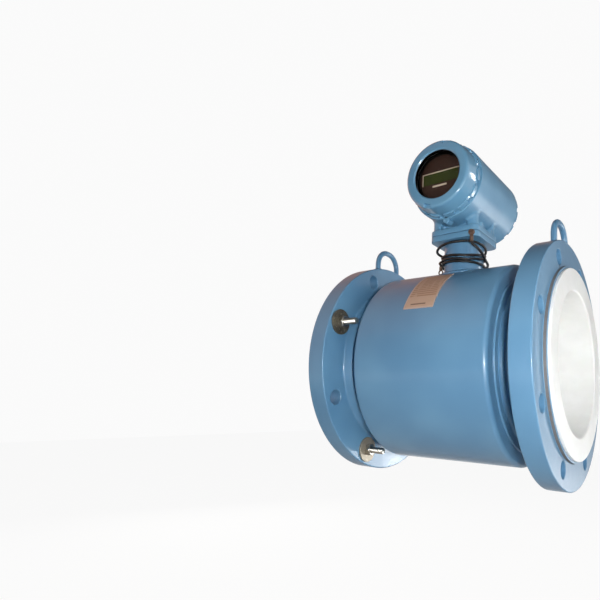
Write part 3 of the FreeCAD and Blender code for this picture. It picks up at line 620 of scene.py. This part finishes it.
def pipe(end, outer, inner, count=256):  # plain tube along X, from -end to end
    corners = [(-end, outer, 0.0), (end, outer, 0.0), (end, inner, 0.0), (-end, inner, 0.0)]
    return turned(rounded(corners), count=count)


def closedBy(low, grid, high):  # grid whose first and last rows are drawn together on two points
    ends = [np.broadcast_to(np.array(point, float), (1, grid.shape[1], 3)) for point in (low, high)]
    return np.concatenate([ends[0], grid, ends[1]]), False, True


def outlineOf(corners, steps):  # rounded outline without doubled points, and its outward normals
    out = rounded(corners, steps)
    out = out[np.linalg.norm(out - np.roll(out, 1, 0), axis=1) > 1e-6]
    ahead = np.roll(out, -1, 0) - np.roll(out, 1, 0)
    return out, np.stack([ahead[:, 1], -ahead[:, 0]], 1) / np.linalg.norm(ahead, axis=1, keepdims=True)


def block(width, depth, corner, low, high, edge, steps=6):
    # rounded rectangle carried from the lower middle round the lower edge, up the wall, to the upper middle
    w, d = width / 2, depth / 2
    out, normal = outlineOf([(w, -d, corner), (w, d, corner), (-w, d, corner), (-w, -d, corner)], steps)
    t = np.linspace(0, quarterTurn, 5)
    onFace = edge + 0.4  # inset of a ring on each flat face
    inset = np.concatenate([[onFace], edge * (1 - np.sin(t)), edge * (1 - np.cos(t)), [onFace]])
    height = np.concatenate([[low], low + edge * (1 - np.cos(t)), high - edge * (1 - np.sin(t)), [high]])
    flat = out[None] - inset[:, None, None] * normal[None]
    grid = np.concatenate([flat, np.broadcast_to(height[:, None, None], (*flat.shape[:2], 1))], 2)
    return closedBy((*out.mean(0), low), grid, (*out.mean(0), high))


def moved(sheet, x, y, z):  # a sheet with every point shifted
    grid, *closes = sheet
    return grid + [x, y, z], *closes


def bead(centre, across, outward, w):
    # weld bead: a closed line of centres with a round section whose radius swells once for every ripple
    t = ringAngles(len(centre))
    ring = ringAngles(14)
    swell = w["radius"] * (1 + w["depth"] * (np.abs(np.sin(t * w["ripples"] / 2)) - 0.6))
    section = np.cos(ring)[None, :, None] * across[:, None] + np.sin(ring)[None, :, None] * outward[:, None]
    return centre[:, None] + swell[:, None, None] * section, True, True


def ringBead(w, side):  # bead round a pipe along X
    t = ringAngles(w["points"])
    outward = np.stack([np.zeros_like(t), np.sin(t), np.cos(t)], 1)
    centre = outward * w["reach"] + [side * w["x"], 0, 0]
    return bead(centre, np.broadcast_to(np.array([1.0, 0, 0]), centre.shape), outward, w)


def postBead(w, x=0.0, y=0.0):  # bead round an upright post that stands on a cylinder along X
    t = ringAngles(w["points"])
    outward = np.stack([np.cos(t), np.sin(t), np.zeros_like(t)], 1)
    centre = outward * w["reach"] + [x, y, 0]
    centre[:, 2] = np.sqrt(w["under"] ** 2 - centre[:, 1] ** 2) + w["rise"]
    return bead(centre, outward, np.broadcast_to(np.array([0, 0, 1.0]), centre.shape), w)


# flanges, flow tube and liner
bothEnds = ((1.0, "front"), (-1.0, "rear"))
flangeSizes = dict(raisedX=174.2, faceX=169.2, backX=140.6, hubEnd=126.6, radius=171.5, edge=1.5,
                   raised=134.95, raisedEdge=0.5, raisedRoot=1.2, hub=125.05, hubTip=121.05, tipEdge=1.5,
                   root=3.5, tube=109.55, holes=8, circle=149.25, holeRadius=11.2, chamfer=0.9, past=1.0)


def flangeSheets(s, side):
    # profile over the raised face and the rim, down the back and along the tapered hub, turned about X
    profile = rounded([(s["raisedX"], s["tube"], 0.0), (s["raisedX"], s["raised"], s["raisedEdge"]),
                       (s["faceX"], s["raised"], s["raisedRoot"]), (s["faceX"], s["radius"], s["edge"]),
                       (s["backX"], s["radius"], s["edge"]), (s["backX"], s["hub"], s["root"]),
                       (s["hubEnd"], s["hubTip"], s["tipEdge"]), (s["hubEnd"], s["tube"], 0.0)])
    return [turned(profile * [side, 1.0], count=320)]


def holePlaces(s, which):  # y and z of the holes, counted round from the top
    a = (np.array(which) + 0.5) * fullTurn / s["holes"]
    return np.stack([-s["circle"] * np.sin(a), s["circle"] * np.cos(a)], 1)


def flangeCutters(s, side):  # one drill a hole, wider by the chamfer at both faces
    lead, r = s["chamfer"] + s["past"], s["holeRadius"]
    low, high = s["backX"] - s["past"], s["faceX"] + s["past"]
    profile = np.array([(low, 0), (low, r + lead), (low + lead, r), (high - lead, r), (high, r + lead),
                        (high, 0)])
    return [turned(profile * [side, 1.0], centre=(0, y, z), count=56)
            for y, z in holePlaces(s, range(s["holes"]))]


for side, name in bothEnds:
    addPiece(name + "Flange", flangeSheets(flangeSizes, side), flangePaint, stands=[name + "_flange"],
             cutters=flangeCutters(flangeSizes, side))

tubeSizes = dict(end=174.2, outer=109.55, inner=105.75)
addPiece("flowTube", [pipe(**tubeSizes)], enamel, stands=["flow_tube"])

linerSizes = dict(face=178.0, seat=174.2, bore=100.0, wall=105.75, flare=131.95, lip=3.0, edge=1.0,
                  corner=0.3, pocket=7.15, pocketEnd=103.0)


def linerSheets(s):
    # half the profile, from the bore's lip over the flare to the wall, then its mirror, turned about X
    half = [(s["face"], s["bore"], s["lip"]), (s["face"], s["flare"], s["edge"]),
            (s["seat"], s["flare"], s["corner"]), (s["seat"], s["wall"], s["corner"])]
    return [turned(rounded(half + [(-x, r, c) for x, r, c in reversed(half)]))]


addPiece("liner", linerSheets(linerSizes), linerWhite, stands=["liner"],
         cutters=[drillBit(-linerSizes["pocketEnd"], linerSizes["pocketEnd"], linerSizes["pocket"])])
print("flanges, tube and liner made")

# coil housing: shell, end plates with a rounded rim and a low collar, and the welds on the tube
shellSizes = dict(radius=147.0, inner=143.0, plateX=95.0, endX=105.0, rim=6.0, collar=127.05, collarX=107.5,
                  collarRoot=0.8, collarEdge=1.2, filletEdge=2.0, tube=109.55, leg=8.0)
ringWelds = dict(PlateWeld=dict(x=110.4, reach=112.6, radius=4.2, ripples=150, depth=0.03, points=900),
                 HubWeld=dict(x=125.6, reach=111.0, radius=3.0, ripples=150, depth=0.04, points=900))


def endPlateSheets(s, side):
    # profile up the plate, over its rim, down to the collar and the fillet on the tube, turned about X
    profile = rounded([(s["plateX"], s["tube"], 0.0), (s["plateX"], s["radius"], 0.0),
                       (s["endX"], s["radius"], s["rim"]), (s["endX"], s["collar"], s["collarRoot"]),
                       (s["collarX"], s["collar"], s["collarEdge"]),
                       (s["collarX"], s["tube"] + s["leg"], s["filletEdge"]),
                       (s["collarX"] + s["leg"], s["tube"], 0.0)], steps=9)
    return [turned(profile * [side, 1.0], count=360)]


addPiece("coilShell", [pipe(shellSizes["plateX"], shellSizes["radius"], shellSizes["inner"], 360)], enamel,
         stands=["coil_housing"])
for side, name in bothEnds:
    addPiece(name + "EndPlate", endPlateSheets(shellSizes, side), enamel, stands=[name + "_end_plate"])
    for weld, w in ringWelds.items():
        addPiece(name + weld, [ringBead(w, side)], enamel)

# lifting eyes: round rod up one leg, round two bends and down the other; the feet follow the rim
eyeSizes = dict(rod=4.5, half=28.5, top=206.5, bend=26.0, rim=171.5, x=154.9, sunk=8.0, seat=0.2)
eyeWeld = dict(under=171.5, reach=5.3, radius=2.3, rise=0.2, ripples=18, depth=0.16, points=120)


def eyeSheets(s, x):
    # the rod's circle carried along the line, square to it; points inside the rim are lifted to it
    a = np.linspace(0, quarterTurn, 14)
    edge, low = s["half"] - s["bend"], s["top"] - s["bend"]
    leg = np.linspace(s["rim"] - s["sunk"], low, 12)[:-1]
    y = np.concatenate([np.full(len(leg), -s["half"]), -edge - s["bend"] * np.cos(a),
                        edge + s["bend"] * np.sin(a), np.full(len(leg), s["half"])])
    z = np.concatenate([leg, low + s["bend"] * np.sin(a), low + s["bend"] * np.cos(a), leg[::-1]])
    dy, dz = np.gradient(y), np.gradient(z)
    size = np.hypot(dy, dz)
    ring = ringAngles(28)
    grid = np.empty((len(y), len(ring), 3))
    grid[..., 0] = x + s["rod"] * np.sin(ring)
    grid[..., 1] = y[:, None] + s["rod"] * np.cos(ring) * (-dz / size)[:, None]
    grid[..., 2] = z[:, None] + s["rod"] * np.cos(ring) * (dy / size)[:, None]
    onRim = np.sqrt(s["rim"] ** 2 - grid[..., 1] ** 2) - s["seat"]
    grid[..., 2] = np.maximum(grid[..., 2], onRim)
    return [closedBy(grid[0].mean(0), grid, grid[-1].mean(0))]


for side, name in bothEnds:
    eyeX = side * eyeSizes["x"]
    addPiece(name + "LiftingEye", eyeSheets(eyeSizes, eyeX), enamel, stands=[name + "_lifting_eye"],
             sharp=50.0)
    addPiece(name + "EyeWelds", [postBead(eyeWeld, eyeX, k * eyeSizes["half"]) for k in (-1, 1)], enamel)
print("coil housing and lifting eyes made")

# bolts, washers and nuts in every second hole of the rear flange
boltSizes = dict(shank=5.0, pitch=1.5, depth=0.8, tipSlope=0.7, flats=16.0, faceShare=0.93, faceSlope=1.7,
                 headLow=-177.6, headHigh=-171.2, nutLow=-137.6, nutHigh=-129.2, end=-107.2, play=0.05,
                 intoHead=1.0, intoNut=0.5, plain=4.9, washerHole=5.4, holeEdge=0.3, washerEdge=0.5,
                 washers=((-171.2, -169.2, 13.5), (-140.6, -137.6, 19.5)), inHoles=(1, 3, 5, 7))


def aboutX(x, r, t, y, z):  # radius r at angle t round a line along X through y and z
    return np.stack([np.repeat(x[:, None], len(t), 1), y + r * np.sin(t), z + r * np.cos(t)], -1)


def hexSheet(s, low, high, y, z, hole):
    # hexagon radius by angle, held back near both faces by the cone of the chamfer
    t = ringAngles(120)
    flat = s["flats"] / 2
    hexRadius = flat / np.cos((t + math.pi / 6) % (math.pi / 3) - math.pi / 6)
    lift = np.array([0.0, 0.35, 0.7, 1.05, 1.4, 1.8])
    x = np.concatenate([[low], low + lift, high - lift[::-1], [high]])
    cone = flat * s["faceShare"] + np.minimum(x - low, high - x) * s["faceSlope"]
    r = np.minimum(hexRadius[None], cone[:, None])
    r[[0, -1]] = hole
    return aboutX(x, r, t, y, z), hole > 0, True


def threadSheet(s, y, z):
    # rod whose radius dips in a V wherever x over the pitch plus the share of a turn is near a whole number
    x = np.linspace(s["nutLow"] + s["intoNut"], s["end"], 170)
    t = ringAngles(40)
    wave = np.abs((x[:, None] / s["pitch"] + t[None] / fullTurn) % 1 - 0.5) * 2
    tip = s["shank"] - s["depth"] + (s["end"] - x)[:, None] * s["tipSlope"]
    r = np.minimum(s["shank"] - s["depth"] * wave, tip)
    zero = np.zeros((1, len(t)))
    x = np.concatenate([[s["headHigh"] - s["intoHead"]] * 2, x, x[-1:]])
    r = np.concatenate([zero, zero + s["plain"], r, zero])
    return aboutX(x, r, t, y, z), False, True


def fastenerSheets(s, places):  # head and threaded rod, nut and two washers at every place
    bolts, nuts, washers = [], [], []
    hole = s["washerHole"]
    for y, z in places:
        bolts += [hexSheet(s, s["headLow"], s["headHigh"], y, z, 0.0), threadSheet(s, y, z)]
        nuts.append(hexSheet(s, s["nutLow"], s["nutHigh"], y, z, s["shank"] + s["play"]))
        for low, high, reach in s["washers"]:
            ring = rounded([(low, hole, s["holeEdge"]), (high, hole, s["holeEdge"]),
                            (high, reach, s["washerEdge"]), (low, reach, s["washerEdge"])], 4)
            washers.append(turned(ring, centre=(0, y, z), count=72))
    return bolts, nuts, washers


boltParts, nutParts, washerParts = fastenerSheets(boltSizes, holePlaces(flangeSizes, boltSizes["inHoles"]))
addPiece("flangeBolts", boltParts, zinc, stands=["flange_bolts"], sharp=28.0)
addPiece("flangeNuts", nutParts, zinc, stands=["flange_nuts"], sharp=24.0)
addPiece("flangeWashers", washerParts, olive, stands=["flange_washers"])
print("fasteners made")

# neck: tube cut to the shell's curve, its weld, the square flange and the gasket
neckSizes = dict(outer=32.0, inner=28.0, top=197.0, shell=147.0)
neckWeld = dict(under=147.0, reach=33.4, radius=3.6, rise=0.6, ripples=44, depth=0.05, points=352)
neckFoot = dict(width=85.0, depth=85.0, corner=12.0, low=197.0, high=206.0, edge=1.0)
neckSeal = dict(width=84.4, depth=84.4, corner=11.7, low=206.0, high=207.0, edge=0.2)
earthHole = dict(low=-45.0, high=-31.0, radius=2.6, centre=(34.0, 0, 201.5), count=32)


def neckSheets(s):
    # four rings, outer foot, outer top, inner top and inner foot; the foot's height follows the shell
    t = ringAngles(160)
    reach = np.array([s["outer"], s["outer"], s["inner"], s["inner"]])
    x, y = reach[:, None] * np.cos(t), reach[:, None] * np.sin(t)
    foot = np.sqrt(s["shell"] ** 2 - y ** 2)
    z = np.where(np.array([True, False, False, True])[:, None], foot, s["top"])
    return [(np.stack([x, y, z], -1), True, True)]


addPiece("neckTube", neckSheets(neckSizes), enamel, stands=["neck_tube"])
addPiece("neckWeld", [postBead(neckWeld)], enamel)
addPiece("neckFlange", [block(**neckFoot)], casting, stands=["neck_flange"],
         cutters=[drillBit(**earthHole)])
addPiece("neckGasket", [block(**neckSeal)], gasketPainted, stands=["neck_gasket"])

# transmitter housing: barrel, pedestal with pockets, base plate, label pad and bosses, one casting
housingSizes = dict(radius=60.5, front=-64.0, back=84.0, bore=52.0, recess=55.6, recessDepth=3.7,
                    wallFront=2.0, wallBack=8.0, edge=1.2, mouthEdge=0.4, seatRoot=0.3, seatEdge=0.4,
                    wallRoot=2.0)
baseSizes = dict(width=85.0, depth=85.0, corner=12.0, low=207.0, high=216.0, edge=1.5)
# the pedestal's outline is one quarter's corners (x, y, radius), mirrored twice
pedestalSizes = dict(quarter=[(27.0, 27.0, 3.0), (39.0, 27.0, 3.0), (39.0, 39.0, 8.5), (23.0, 39.0, 3.0),
                              (23.0, 29.0, 3.0)],
                     low=215.9, foot=2.5, head=5.0, barrel=60.5, sunk=2.0, top=226.5)
padSizes = dict(width=44.0, depth=139.0, corner=1.5, low=330.0, high=343.7, edge=1.0)
padShift = 10.0
conduitBoss = dict(low=-50.0, high=-68.0, radius=17.0, highEdge=1.2)
conduitCentre = (0.0, 20.0, headAxis)
frontBoss = dict(low=-64.0, high=-46.0, radius=5.5, lowEdge=0.7, highEdge=4.5)
backBoss = dict(low=66.0, high=84.0, radius=5.5, lowEdge=4.5, highEdge=0.7)
bossDrop = 62.0  # from the barrel's axis down to the lock screws


def barrelSheet(s):
    # profile of the wall from mouth to mouth and of the partition between them, turned about Y
    def mouth(end, inward, wall):  # from the outer rim over the seal's seat to the middle of the wall
        seat = end + inward * s["recessDepth"]
        return [(end, s["radius"], s["edge"]), (end, s["recess"], s["mouthEdge"]),
                (seat, s["recess"], s["seatRoot"]), (seat, s["bore"], s["seatEdge"]),
                (wall, s["bore"], s["wallRoot"]), (wall, 0.0, 0.0)]

    front, back = mouth(s["front"], 1, s["wallFront"]), mouth(s["back"], -1, s["wallBack"])
    return turned(rounded(front[:1] + back + front[:0:-1]), axis="y", centre=headCentre)


def pedestalSheet(s):
    # cross-shaped outline carried up to the barrel; it flares at its foot and again under the barrel
    half = s["quarter"] + [(-x, y, r) for x, y, r in reversed(s["quarter"])]
    out, normal = outlineOf(half + [(-x, -y, r) for x, y, r in half], 7)
    t = np.linspace(0, quarterTurn, 7)
    flare = np.concatenate([s["foot"] * (1 - np.sin(t)), s["head"] * (1 - np.cos(t))])
    flat = out[None] + flare[:, None, None] * normal[None]
    under = headAxis - np.sqrt(s["barrel"] ** 2 - flat[len(t):, :, 0] ** 2)
    rise = np.repeat(s["low"] + s["foot"] * (1 - np.cos(t))[:, None], len(out), 1)
    z = np.concatenate([rise, under - s["head"] * (1 - np.sin(t))[:, None]])
    grid = np.concatenate([flat, z[..., None]], 2)
    sunk = grid[-1:] + [0, 0, s["sunk"]]
    return closedBy((0, 0, s["low"]), np.concatenate([grid, sunk]), (0, 0, s["top"]))


bosses = [turned(rodProfile(**boss), axis="y", centre=(0, 0, headAxis - bossDrop), count=64)
          for boss in (frontBoss, backBoss)]
housingParts = [barrelSheet(housingSizes), pedestalSheet(pedestalSizes), block(**baseSizes),
                moved(block(**padSizes), 0, padShift, 0),
                turned(rodProfile(**conduitBoss), centre=conduitCentre, count=96), *bosses]
addPiece("transmitterHousing", housingParts, casting, stands=["transmitter_housing"])

plugRod = dict(low=-80.0, high=-68.0, radius=11.5, lowEdge=3.0, highEdge=0.3)
plugFlutes = dict(count=20, depth=0.025, low=-77.5, high=-69.0, reach=9.0)


def plugSheet(rod, s):
    # turned plug whose side carries shallow flutes: radius dips with the cosine of count times the angle
    grid, closed, wrap = turned(rodProfile(**rod), count=240)
    x, y, z = np.moveaxis(grid, -1, 0)
    fluted = (np.hypot(y, z) > s["reach"]) & (x < s["high"]) & (x > s["low"])
    dip = s["depth"] * (1 - np.cos(s["count"] * np.arctan2(y, z)))
    grid[..., 1:] *= np.where(fluted, 1 - dip, 1.0)[..., None]
    return grid, closed, wrap


addPiece("conduitPlug", [moved(plugSheet(plugRod, plugFlutes), *conduitCentre)], plugBlack,
         stands=["conduit_plug"])
print("neck and housing made")

# threaded covers: a turned profile, its grip ring stepped in between lugs, two spanner notches in its rim
coverSizes = dict(skirt=12.5, cavity=46.6, thread=51.6, gap=0.3, lug=58.5, root=56.2, ring=9.3, lugs=14,
                  slotWidth=8.0, slotSlope=0.8, notchWidth=11.5, notchDepth=4.3, notchInner=48.1, pitch=2.0,
                  threadDepth=0.9, threadStart=1.2, threadStop=0.6, threadRows=58, columns=34)
# nose: corners (along, radius, rounding) from the outer edge inwards
displayCover = dict(mouth=-64.0, out=-1.0, length=34.2, turn=17.0,
                    nose=[(34.2, 53.2, 4.6), (34.2, 48.4, 0.0), (34.2, 47.8, 0.0), (34.2, 40.5, 0.4),
                          (32.0, 38.3, 0.3), (30.7, 38.3, 0.0), (30.7, 46.6, 0.3)])
terminalCover = dict(mouth=84.0, out=1.0, length=12.5, turn=0.0,
                     nose=[(12.5, 53.0, 2.4), (12.5, 48.4, 0.0), (12.5, 47.8, 0.0), (12.5, 0.0, 0.0),
                           (8.5, 0.0, 0.0), (8.5, 46.6, 1.5)])
paneRod = dict(low=-94.7, high=-87.7, radius=46.4, lowEdge=0.4, highEdge=0.4)


def coverSheets(s, c):
    # profile (u, r) repeated at every angle t, then r and u changed where lugs, thread and notches are
    skirt = [(-s["skirt"], s["cavity"], 0.4), (-s["skirt"], s["thread"], 0.6), (s["gap"], s["thread"], 0.2),
             (s["gap"], s["lug"], 0.7), (s["ring"], s["lug"], 0.7), (s["ring"], s["root"], 0.5)]
    steps = 6
    profile = rounded(skirt + c["nose"], steps)
    start, stop = s["threadStart"] - s["skirt"], -s["threadStop"]
    rows = np.linspace(start, stop, s["threadRows"])
    rows = np.stack([rows, np.full_like(rows, s["thread"])], 1)
    before = 2 * (steps + 2)  # points of the skirt's two free corners
    u, r = np.concatenate([profile[:before], rows, profile[before:]]).T
    t = ringAngles(s["lugs"] * s["columns"])
    u, r = np.repeat(u[:, None], len(t), 1), np.repeat(r[:, None], len(t), 1)
    lugAngle = fullTurn / s["lugs"]
    fromGap = np.abs((t / lugAngle) % 1 - 0.5) * lugAngle * s["lug"]
    inGap = np.clip((s["slotWidth"] / 2 + s["slotSlope"] / 2 - fromGap) / s["slotSlope"], 0, 1)
    onRing = (u > 0.1) & (u < s["ring"] + 0.1) & (r > s["root"])
    r = np.where(onRing, r - inGap[None] * (r - s["root"]), r)
    # thread: the skirt dips in a V that climbs one pitch a turn, and runs out at both ends
    fade = np.clip((u - start) / s["pitch"], 0, 1) * np.clip((stop - u) / s["pitch"], 0, 1)
    vee = 1 - np.abs((u / s["pitch"] - c["out"] * t / fullTurn) % 1 - 0.5) * 2
    r = np.where(np.abs(r - s["thread"]) < 0.01, r - s["threadDepth"] * fade * vee, r)
    floor = c["length"] - s["notchDepth"]
    notch = (np.abs(r * np.sin(t)) < s["notchWidth"] / 2) & (r > s["notchInner"]) & (u > floor)
    u = np.where(notch, floor, u)
    t = t + math.radians(c["turn"])
    grid = np.stack([r * np.sin(t), c["mouth"] + c["out"] * u, headAxis + r * np.cos(t)], -1)
    return [(grid, True, True)]


for name, cover, paint in (("display", displayCover, displayPaint),
                           ("terminal", terminalCover, terminalPaint)):
    addPiece(name + "Cover", coverSheets(coverSizes, cover), paint, body=name + "_cap",
             stands=[name + "_cover"], sharp=38.0)
addPiece("displayGlass", [turned(rodProfile(**paneRod), axis="y", centre=headCentre, count=128)], glass,
         body="display_cap", stands=["display_glass"])

# display: board with a black rim of painted shade, green panel, pale bars of painted highlight above and
# beside it, a bare strip below
boardSizes = dict(face=-83.9, floor=-83.3, back=-62.0, radius=44.0, floorRadius=37.4)
panelBar = dict(x=(-30.5, 30.5), z=(-8.7, 8.7), deep=-82.4, proud=-83.6, corner=0.6, edge=0.15)
# pale bars on the panel's top and left edges: painted highlights of the bezel's lit edges
paintedHighlightBars = [dict(x=(-31.9, 33.0), z=(8.9, 10.4), deep=-83.2, proud=-83.85, corner=0.2, edge=0.1),
            dict(x=(-31.9, -30.6), z=(-9.2, 8.9), deep=-83.2, proud=-83.85, corner=0.2, edge=0.1)]
stripBar = dict(x=(-13.6, 10.8), z=(-14.4, -11.6), deep=-83.2, proud=-83.8, corner=0.5, edge=0.12)


def boardSheets(s):
    # profile of a disc whose face is sunk inside its rim, turned about Y
    profile = rounded([(s["back"], 0.0, 0.0), (s["back"], s["radius"], 0.3), (s["face"], s["radius"], 0.3),
                       (s["face"], s["floorRadius"], 0.2), (s["floor"], s["floorRadius"], 0.1),
                       (s["floor"], 0.0, 0.0)], 4)
    return [turned(profile, axis="y", centre=headCentre, count=160)]


def faceBar(s, x=0.0, z=headAxis):
    # block made lying down, then stood up round the point x, z so that it faces -Y
    wide, high = s["x"][1] - s["x"][0], s["z"][1] - s["z"][0]
    grid, *closes = block(wide, high, s["corner"], 0.0, s["deep"] - s["proud"], s["edge"], 4)
    u, v, w = np.moveaxis(grid, -1, 0)
    return np.stack([x + u + sum(s["x"]) / 2, s["deep"] - w, z + v + sum(s["z"]) / 2], -1), *closes


addPiece("displayBoard", boardSheets(boardSizes), faceBrown, stands=["display_module"])
addPiece("displayPanel", [faceBar(panelBar)], lcdGreen, stands=["display_panel"])
# painted highlight: pale bars along the panel's top and left edges
addPiece("panelHighlightBars", [faceBar(bar) for bar in paintedHighlightBars], paleStripAndHighlight)
addPiece("nameStrip", [faceBar(stripBar)], paleStripAndHighlight)
print("covers and display made")

# sensor tag wrapped on the shell, earth screw
tagSizes = dict(x=-5.5, length=49.0, arc=88.0, start=28.0, shell=147.0, radius=147.3, thickness=0.6,
                corner=1.5, edge=0.15)
earthScrew = dict(x=34.0, z=201.5, head=-46.7, seat=-43.5, tip=-33.5, headRadius=4.5, headEdge=1.2,
                  seatEdge=0.2, shank=2.5, tipEdge=0.4)
slotBar = dict(x=(-5.0, 5.0), z=(-0.6, 0.6), deep=-45.3, proud=-47.5, corner=0.05, edge=0.02)


def tagSheets(s):
    # rows go round the shell; each is a closed thin section, narrowed by the corner's circle near both ends
    c, arc, thick, edge = s["corner"], s["arc"], s["thickness"], s["edge"]
    bend = c * (1 - np.cos(np.linspace(0, quarterTurn, 6)))
    v = np.concatenate([bend[:-1], np.linspace(c, arc - c, 40), (arc - bend[:-1])[::-1]])
    near = np.minimum(np.minimum(v, arc - v), c)
    half = s["length"] / 2 - c + np.sqrt(c ** 2 - (c - near) ** 2)
    across = np.stack([-half, half, half, half - edge, edge - half, -half], 1)
    rise = np.array([0.0, 0.0, thick - edge, thick, thick, thick - edge])
    angle = (math.radians(s["start"]) + v / s["shell"])[:, None]
    reach = s["radius"] + rise[None]
    grid = np.stack([s["x"] + across, -reach * np.sin(angle), reach * np.cos(angle)], -1)
    return [closedBy(grid[0].mean(0), grid, grid[-1].mean(0))]


def screwSheets(s):  # profile of head and shank, turned about Y
    profile = rounded([(s["head"], 0.0, 0.0), (s["head"], s["headRadius"], s["headEdge"]),
                       (s["seat"], s["headRadius"], s["seatEdge"]), (s["seat"], s["shank"], 0.0),
                       (s["tip"], s["shank"], s["tipEdge"]), (s["tip"], 0.0, 0.0)])
    return [turned(profile, axis="y", centre=(s["x"], 0, s["z"]), count=64)]


addPiece("sensorTag", tagSheets(tagSizes), tagTan, stands=["sensor_tag"])
addPiece("earthScrew", screwSheets(earthScrew), bronze, stands=["earth_screw"],
         cutters=[faceBar(slotBar, earthScrew["x"], earthScrew["z"])], solver="FAST")
print("tag and screws made")

# stage, in metres: pale floor far below, white surround, soft lamps
stageSizes = dict(floorZ=-0.62, reach=6.0, worldLight=0.17, floorWhite=0.93, surround=0.96)
lamps = dict(
    keyLamp=dict(place=(1.5, -0.7, -0.4), aim=(0.1, 0, 0.0), size=(0.9, 0.9), power=8.0),
    frontLamp=dict(place=(0.1, -1.9, -0.3), aim=(0, 0, 0.05), size=(1.2, 1.2), power=3.4),
    backLamp=dict(place=(1.5, 1.9, -0.4), aim=(0, 0, 0.1), size=(0.7, 0.7), power=11.0),
    windowLamp=dict(place=(1.68, 1.32, 0.69), aim=(0.05, -0.09, 0.27), size=(0.22, 0.42), power=5.0),
    lowLamp=dict(place=(1.03, 1.86, -0.51), aim=(0.04, 0, 0.24), size=(0.25, 0.25), power=3.6),
    topBackLamp=dict(place=(-0.3, 1.7, 1.6), aim=(0, 0, 0.1), size=(1.0, 1.0), power=13.0, gloss=False),
    leftLamp=dict(place=(-1.8, 0.9, 0.3), aim=(0, 0, 0.05), size=(1.0, 1.0), power=15.0, gloss=False),
    nearLamp=dict(place=(0.395, -0.645, -0.05), aim=(0, 0, 0.03), size=(0.05, 0.05), power=3.3))
# dim cards round the stage, warm on the left; only the gloss of paint, plastic and metal picks them up
cards = dict(
    leftCard=dict(corner=(-3.0, -3.2, -0.6), along=(0, 5.8, 0), up=(0, 0, 3.0), glow=(1.0, 0.66, 0.54)),
    backCard=dict(corner=(-3.0, 2.6, -0.6), along=(4.5, 0, 0), up=(0, 0, 3.0), glow=(0.22, 0.2, 0.19)),
    warmCard=dict(corner=(-3.0, 2.5, 0.5), along=(2.5, 0, 0), up=(0, 0, 1.9), glow=(0.5, 0.33, 0.27)),
    coolCard=dict(corner=(-0.5, 1.0, -0.58), along=(2.8, 0, 0), up=(0, 1.6, 0), glow=(0.3, 0.36, 0.42)),
    frontCard=dict(corner=(-3.0, -3.2, -0.6), along=(6.0, 0, 0), up=(0, 0, 3.0), glow=(0.2, 0.19, 0.19)),
    topLeftCard=dict(corner=(-3.0, -3.2, 2.4), along=(1.9, 0, 0), up=(0, 5.8, 0), glow=(0.6, 0.3, 0.2)),
    topCard=dict(corner=(-1.1, -3.2, 2.4), along=(3.6, 0, 0), up=(0, 5.8, 0), glow=(0.1, 0.09, 0.09)),
    lowCard=dict(corner=(-3.0, -1.5, -0.6), along=(4.2, 0, 0), up=(0, 2.4, 0), glow=(0.4, 0.36, 0.34)))


def seenShare(tree):  # 1 for the rays that show the background, 0 for those that light the object
    path = tree.nodes.new("ShaderNodeLightPath").outputs
    seen = Tone(path["Is Camera Ray"]).of("MAXIMUM", Tone(path["Is Glossy Ray"]))
    return seen.of("MAXIMUM", Tone(path["Is Transmission Ray"]))


def addStage(name, grid, finish):
    thing = bpy.data.objects.new(name, meshFrom(name, [(grid / mm, False, False)]))
    scene.collection.objects.link(thing)
    thing.data.materials.append(finish)
    return thing


def makeFloor(s):  # matt where it is lit, nearly white where it is seen, so that the shadow stays
    t = np.linspace(-1, 1, 3) * s["reach"]
    x, y = np.meshgrid(t, t, indexing="ij")
    f = Finish("paleFloor")
    pale = f.mix(f.noise(40.0, 3.0), tint(226, 222, 216), tint(236, 232, 226))
    matt = f.tone("ShaderNodeBsdfDiffuse", None, {"Color": pale})
    white = f.tone("ShaderNodeEmission", None, {"Color": (1.0, 1.0, 1.0, 1.0), "Strength": 1.0})
    share = seenShare(f.tree) * s["floorWhite"]
    both = f.tone("ShaderNodeMixShader", None, {0: share, 1: matt, 2: white})
    addStage("floor", np.stack([x, y, np.full_like(x, s["floorZ"])], -1), f.output(both))


def makeSurround(s):
    world = bpy.data.worlds.new("surround")
    world.use_nodes = True
    tree = world.node_tree
    tree.nodes.clear()
    back = tree.nodes.new("ShaderNodeBackground")
    back.inputs["Color"].default_value = (*[s["surround"]] * 3, 1.0)
    strength = seenShare(tree) * (1 - s["worldLight"]) + s["worldLight"]
    tree.links.new(strength.socket, back.inputs["Strength"])
    tree.links.new(back.outputs[0], tree.nodes.new("ShaderNodeOutputWorld").inputs["Surface"])
    scene.world = world


def addCard(name, corner, along, up, glow):  # points: the corner plus shares of the two sides
    u, v = np.meshgrid([0.0, 1.0], [0.0, 1.0], indexing="ij")
    grid = np.array(corner) + u[..., None] * np.array(along) + v[..., None] * np.array(up)
    f = Finish(name)
    card = addStage(name, grid, f.output(f.tone("ShaderNodeEmission", None, {"Color": (*glow, 1.0)})))
    card.visible_camera = card.visible_diffuse = card.visible_transmission = card.visible_shadow = False


def addLamp(name, place, aim, size, power, gloss=True):
    light = bpy.data.lights.new(name, "AREA")
    light.shape, light.size, light.size_y, light.energy = "RECTANGLE", *size, power
    lamp = bpy.data.objects.new(name, light)
    lamp.visible_camera, lamp.visible_glossy = False, gloss
    scene.collection.objects.link(lamp)
    back = np.array(place) - np.array(aim)
    back = back / np.linalg.norm(back)
    side = np.cross([0, 0, 1.0], back)
    side = side / np.linalg.norm(side)
    lamp.matrix_world = standing(side, np.cross(back, side), back, place)


makeFloor(stageSizes)
makeSurround(stageSizes)
for name, card in cards.items():
    addCard(name, **card)
for name, lamp in lamps.items():
    addLamp(name, **lamp)
print("stage and lamps set")
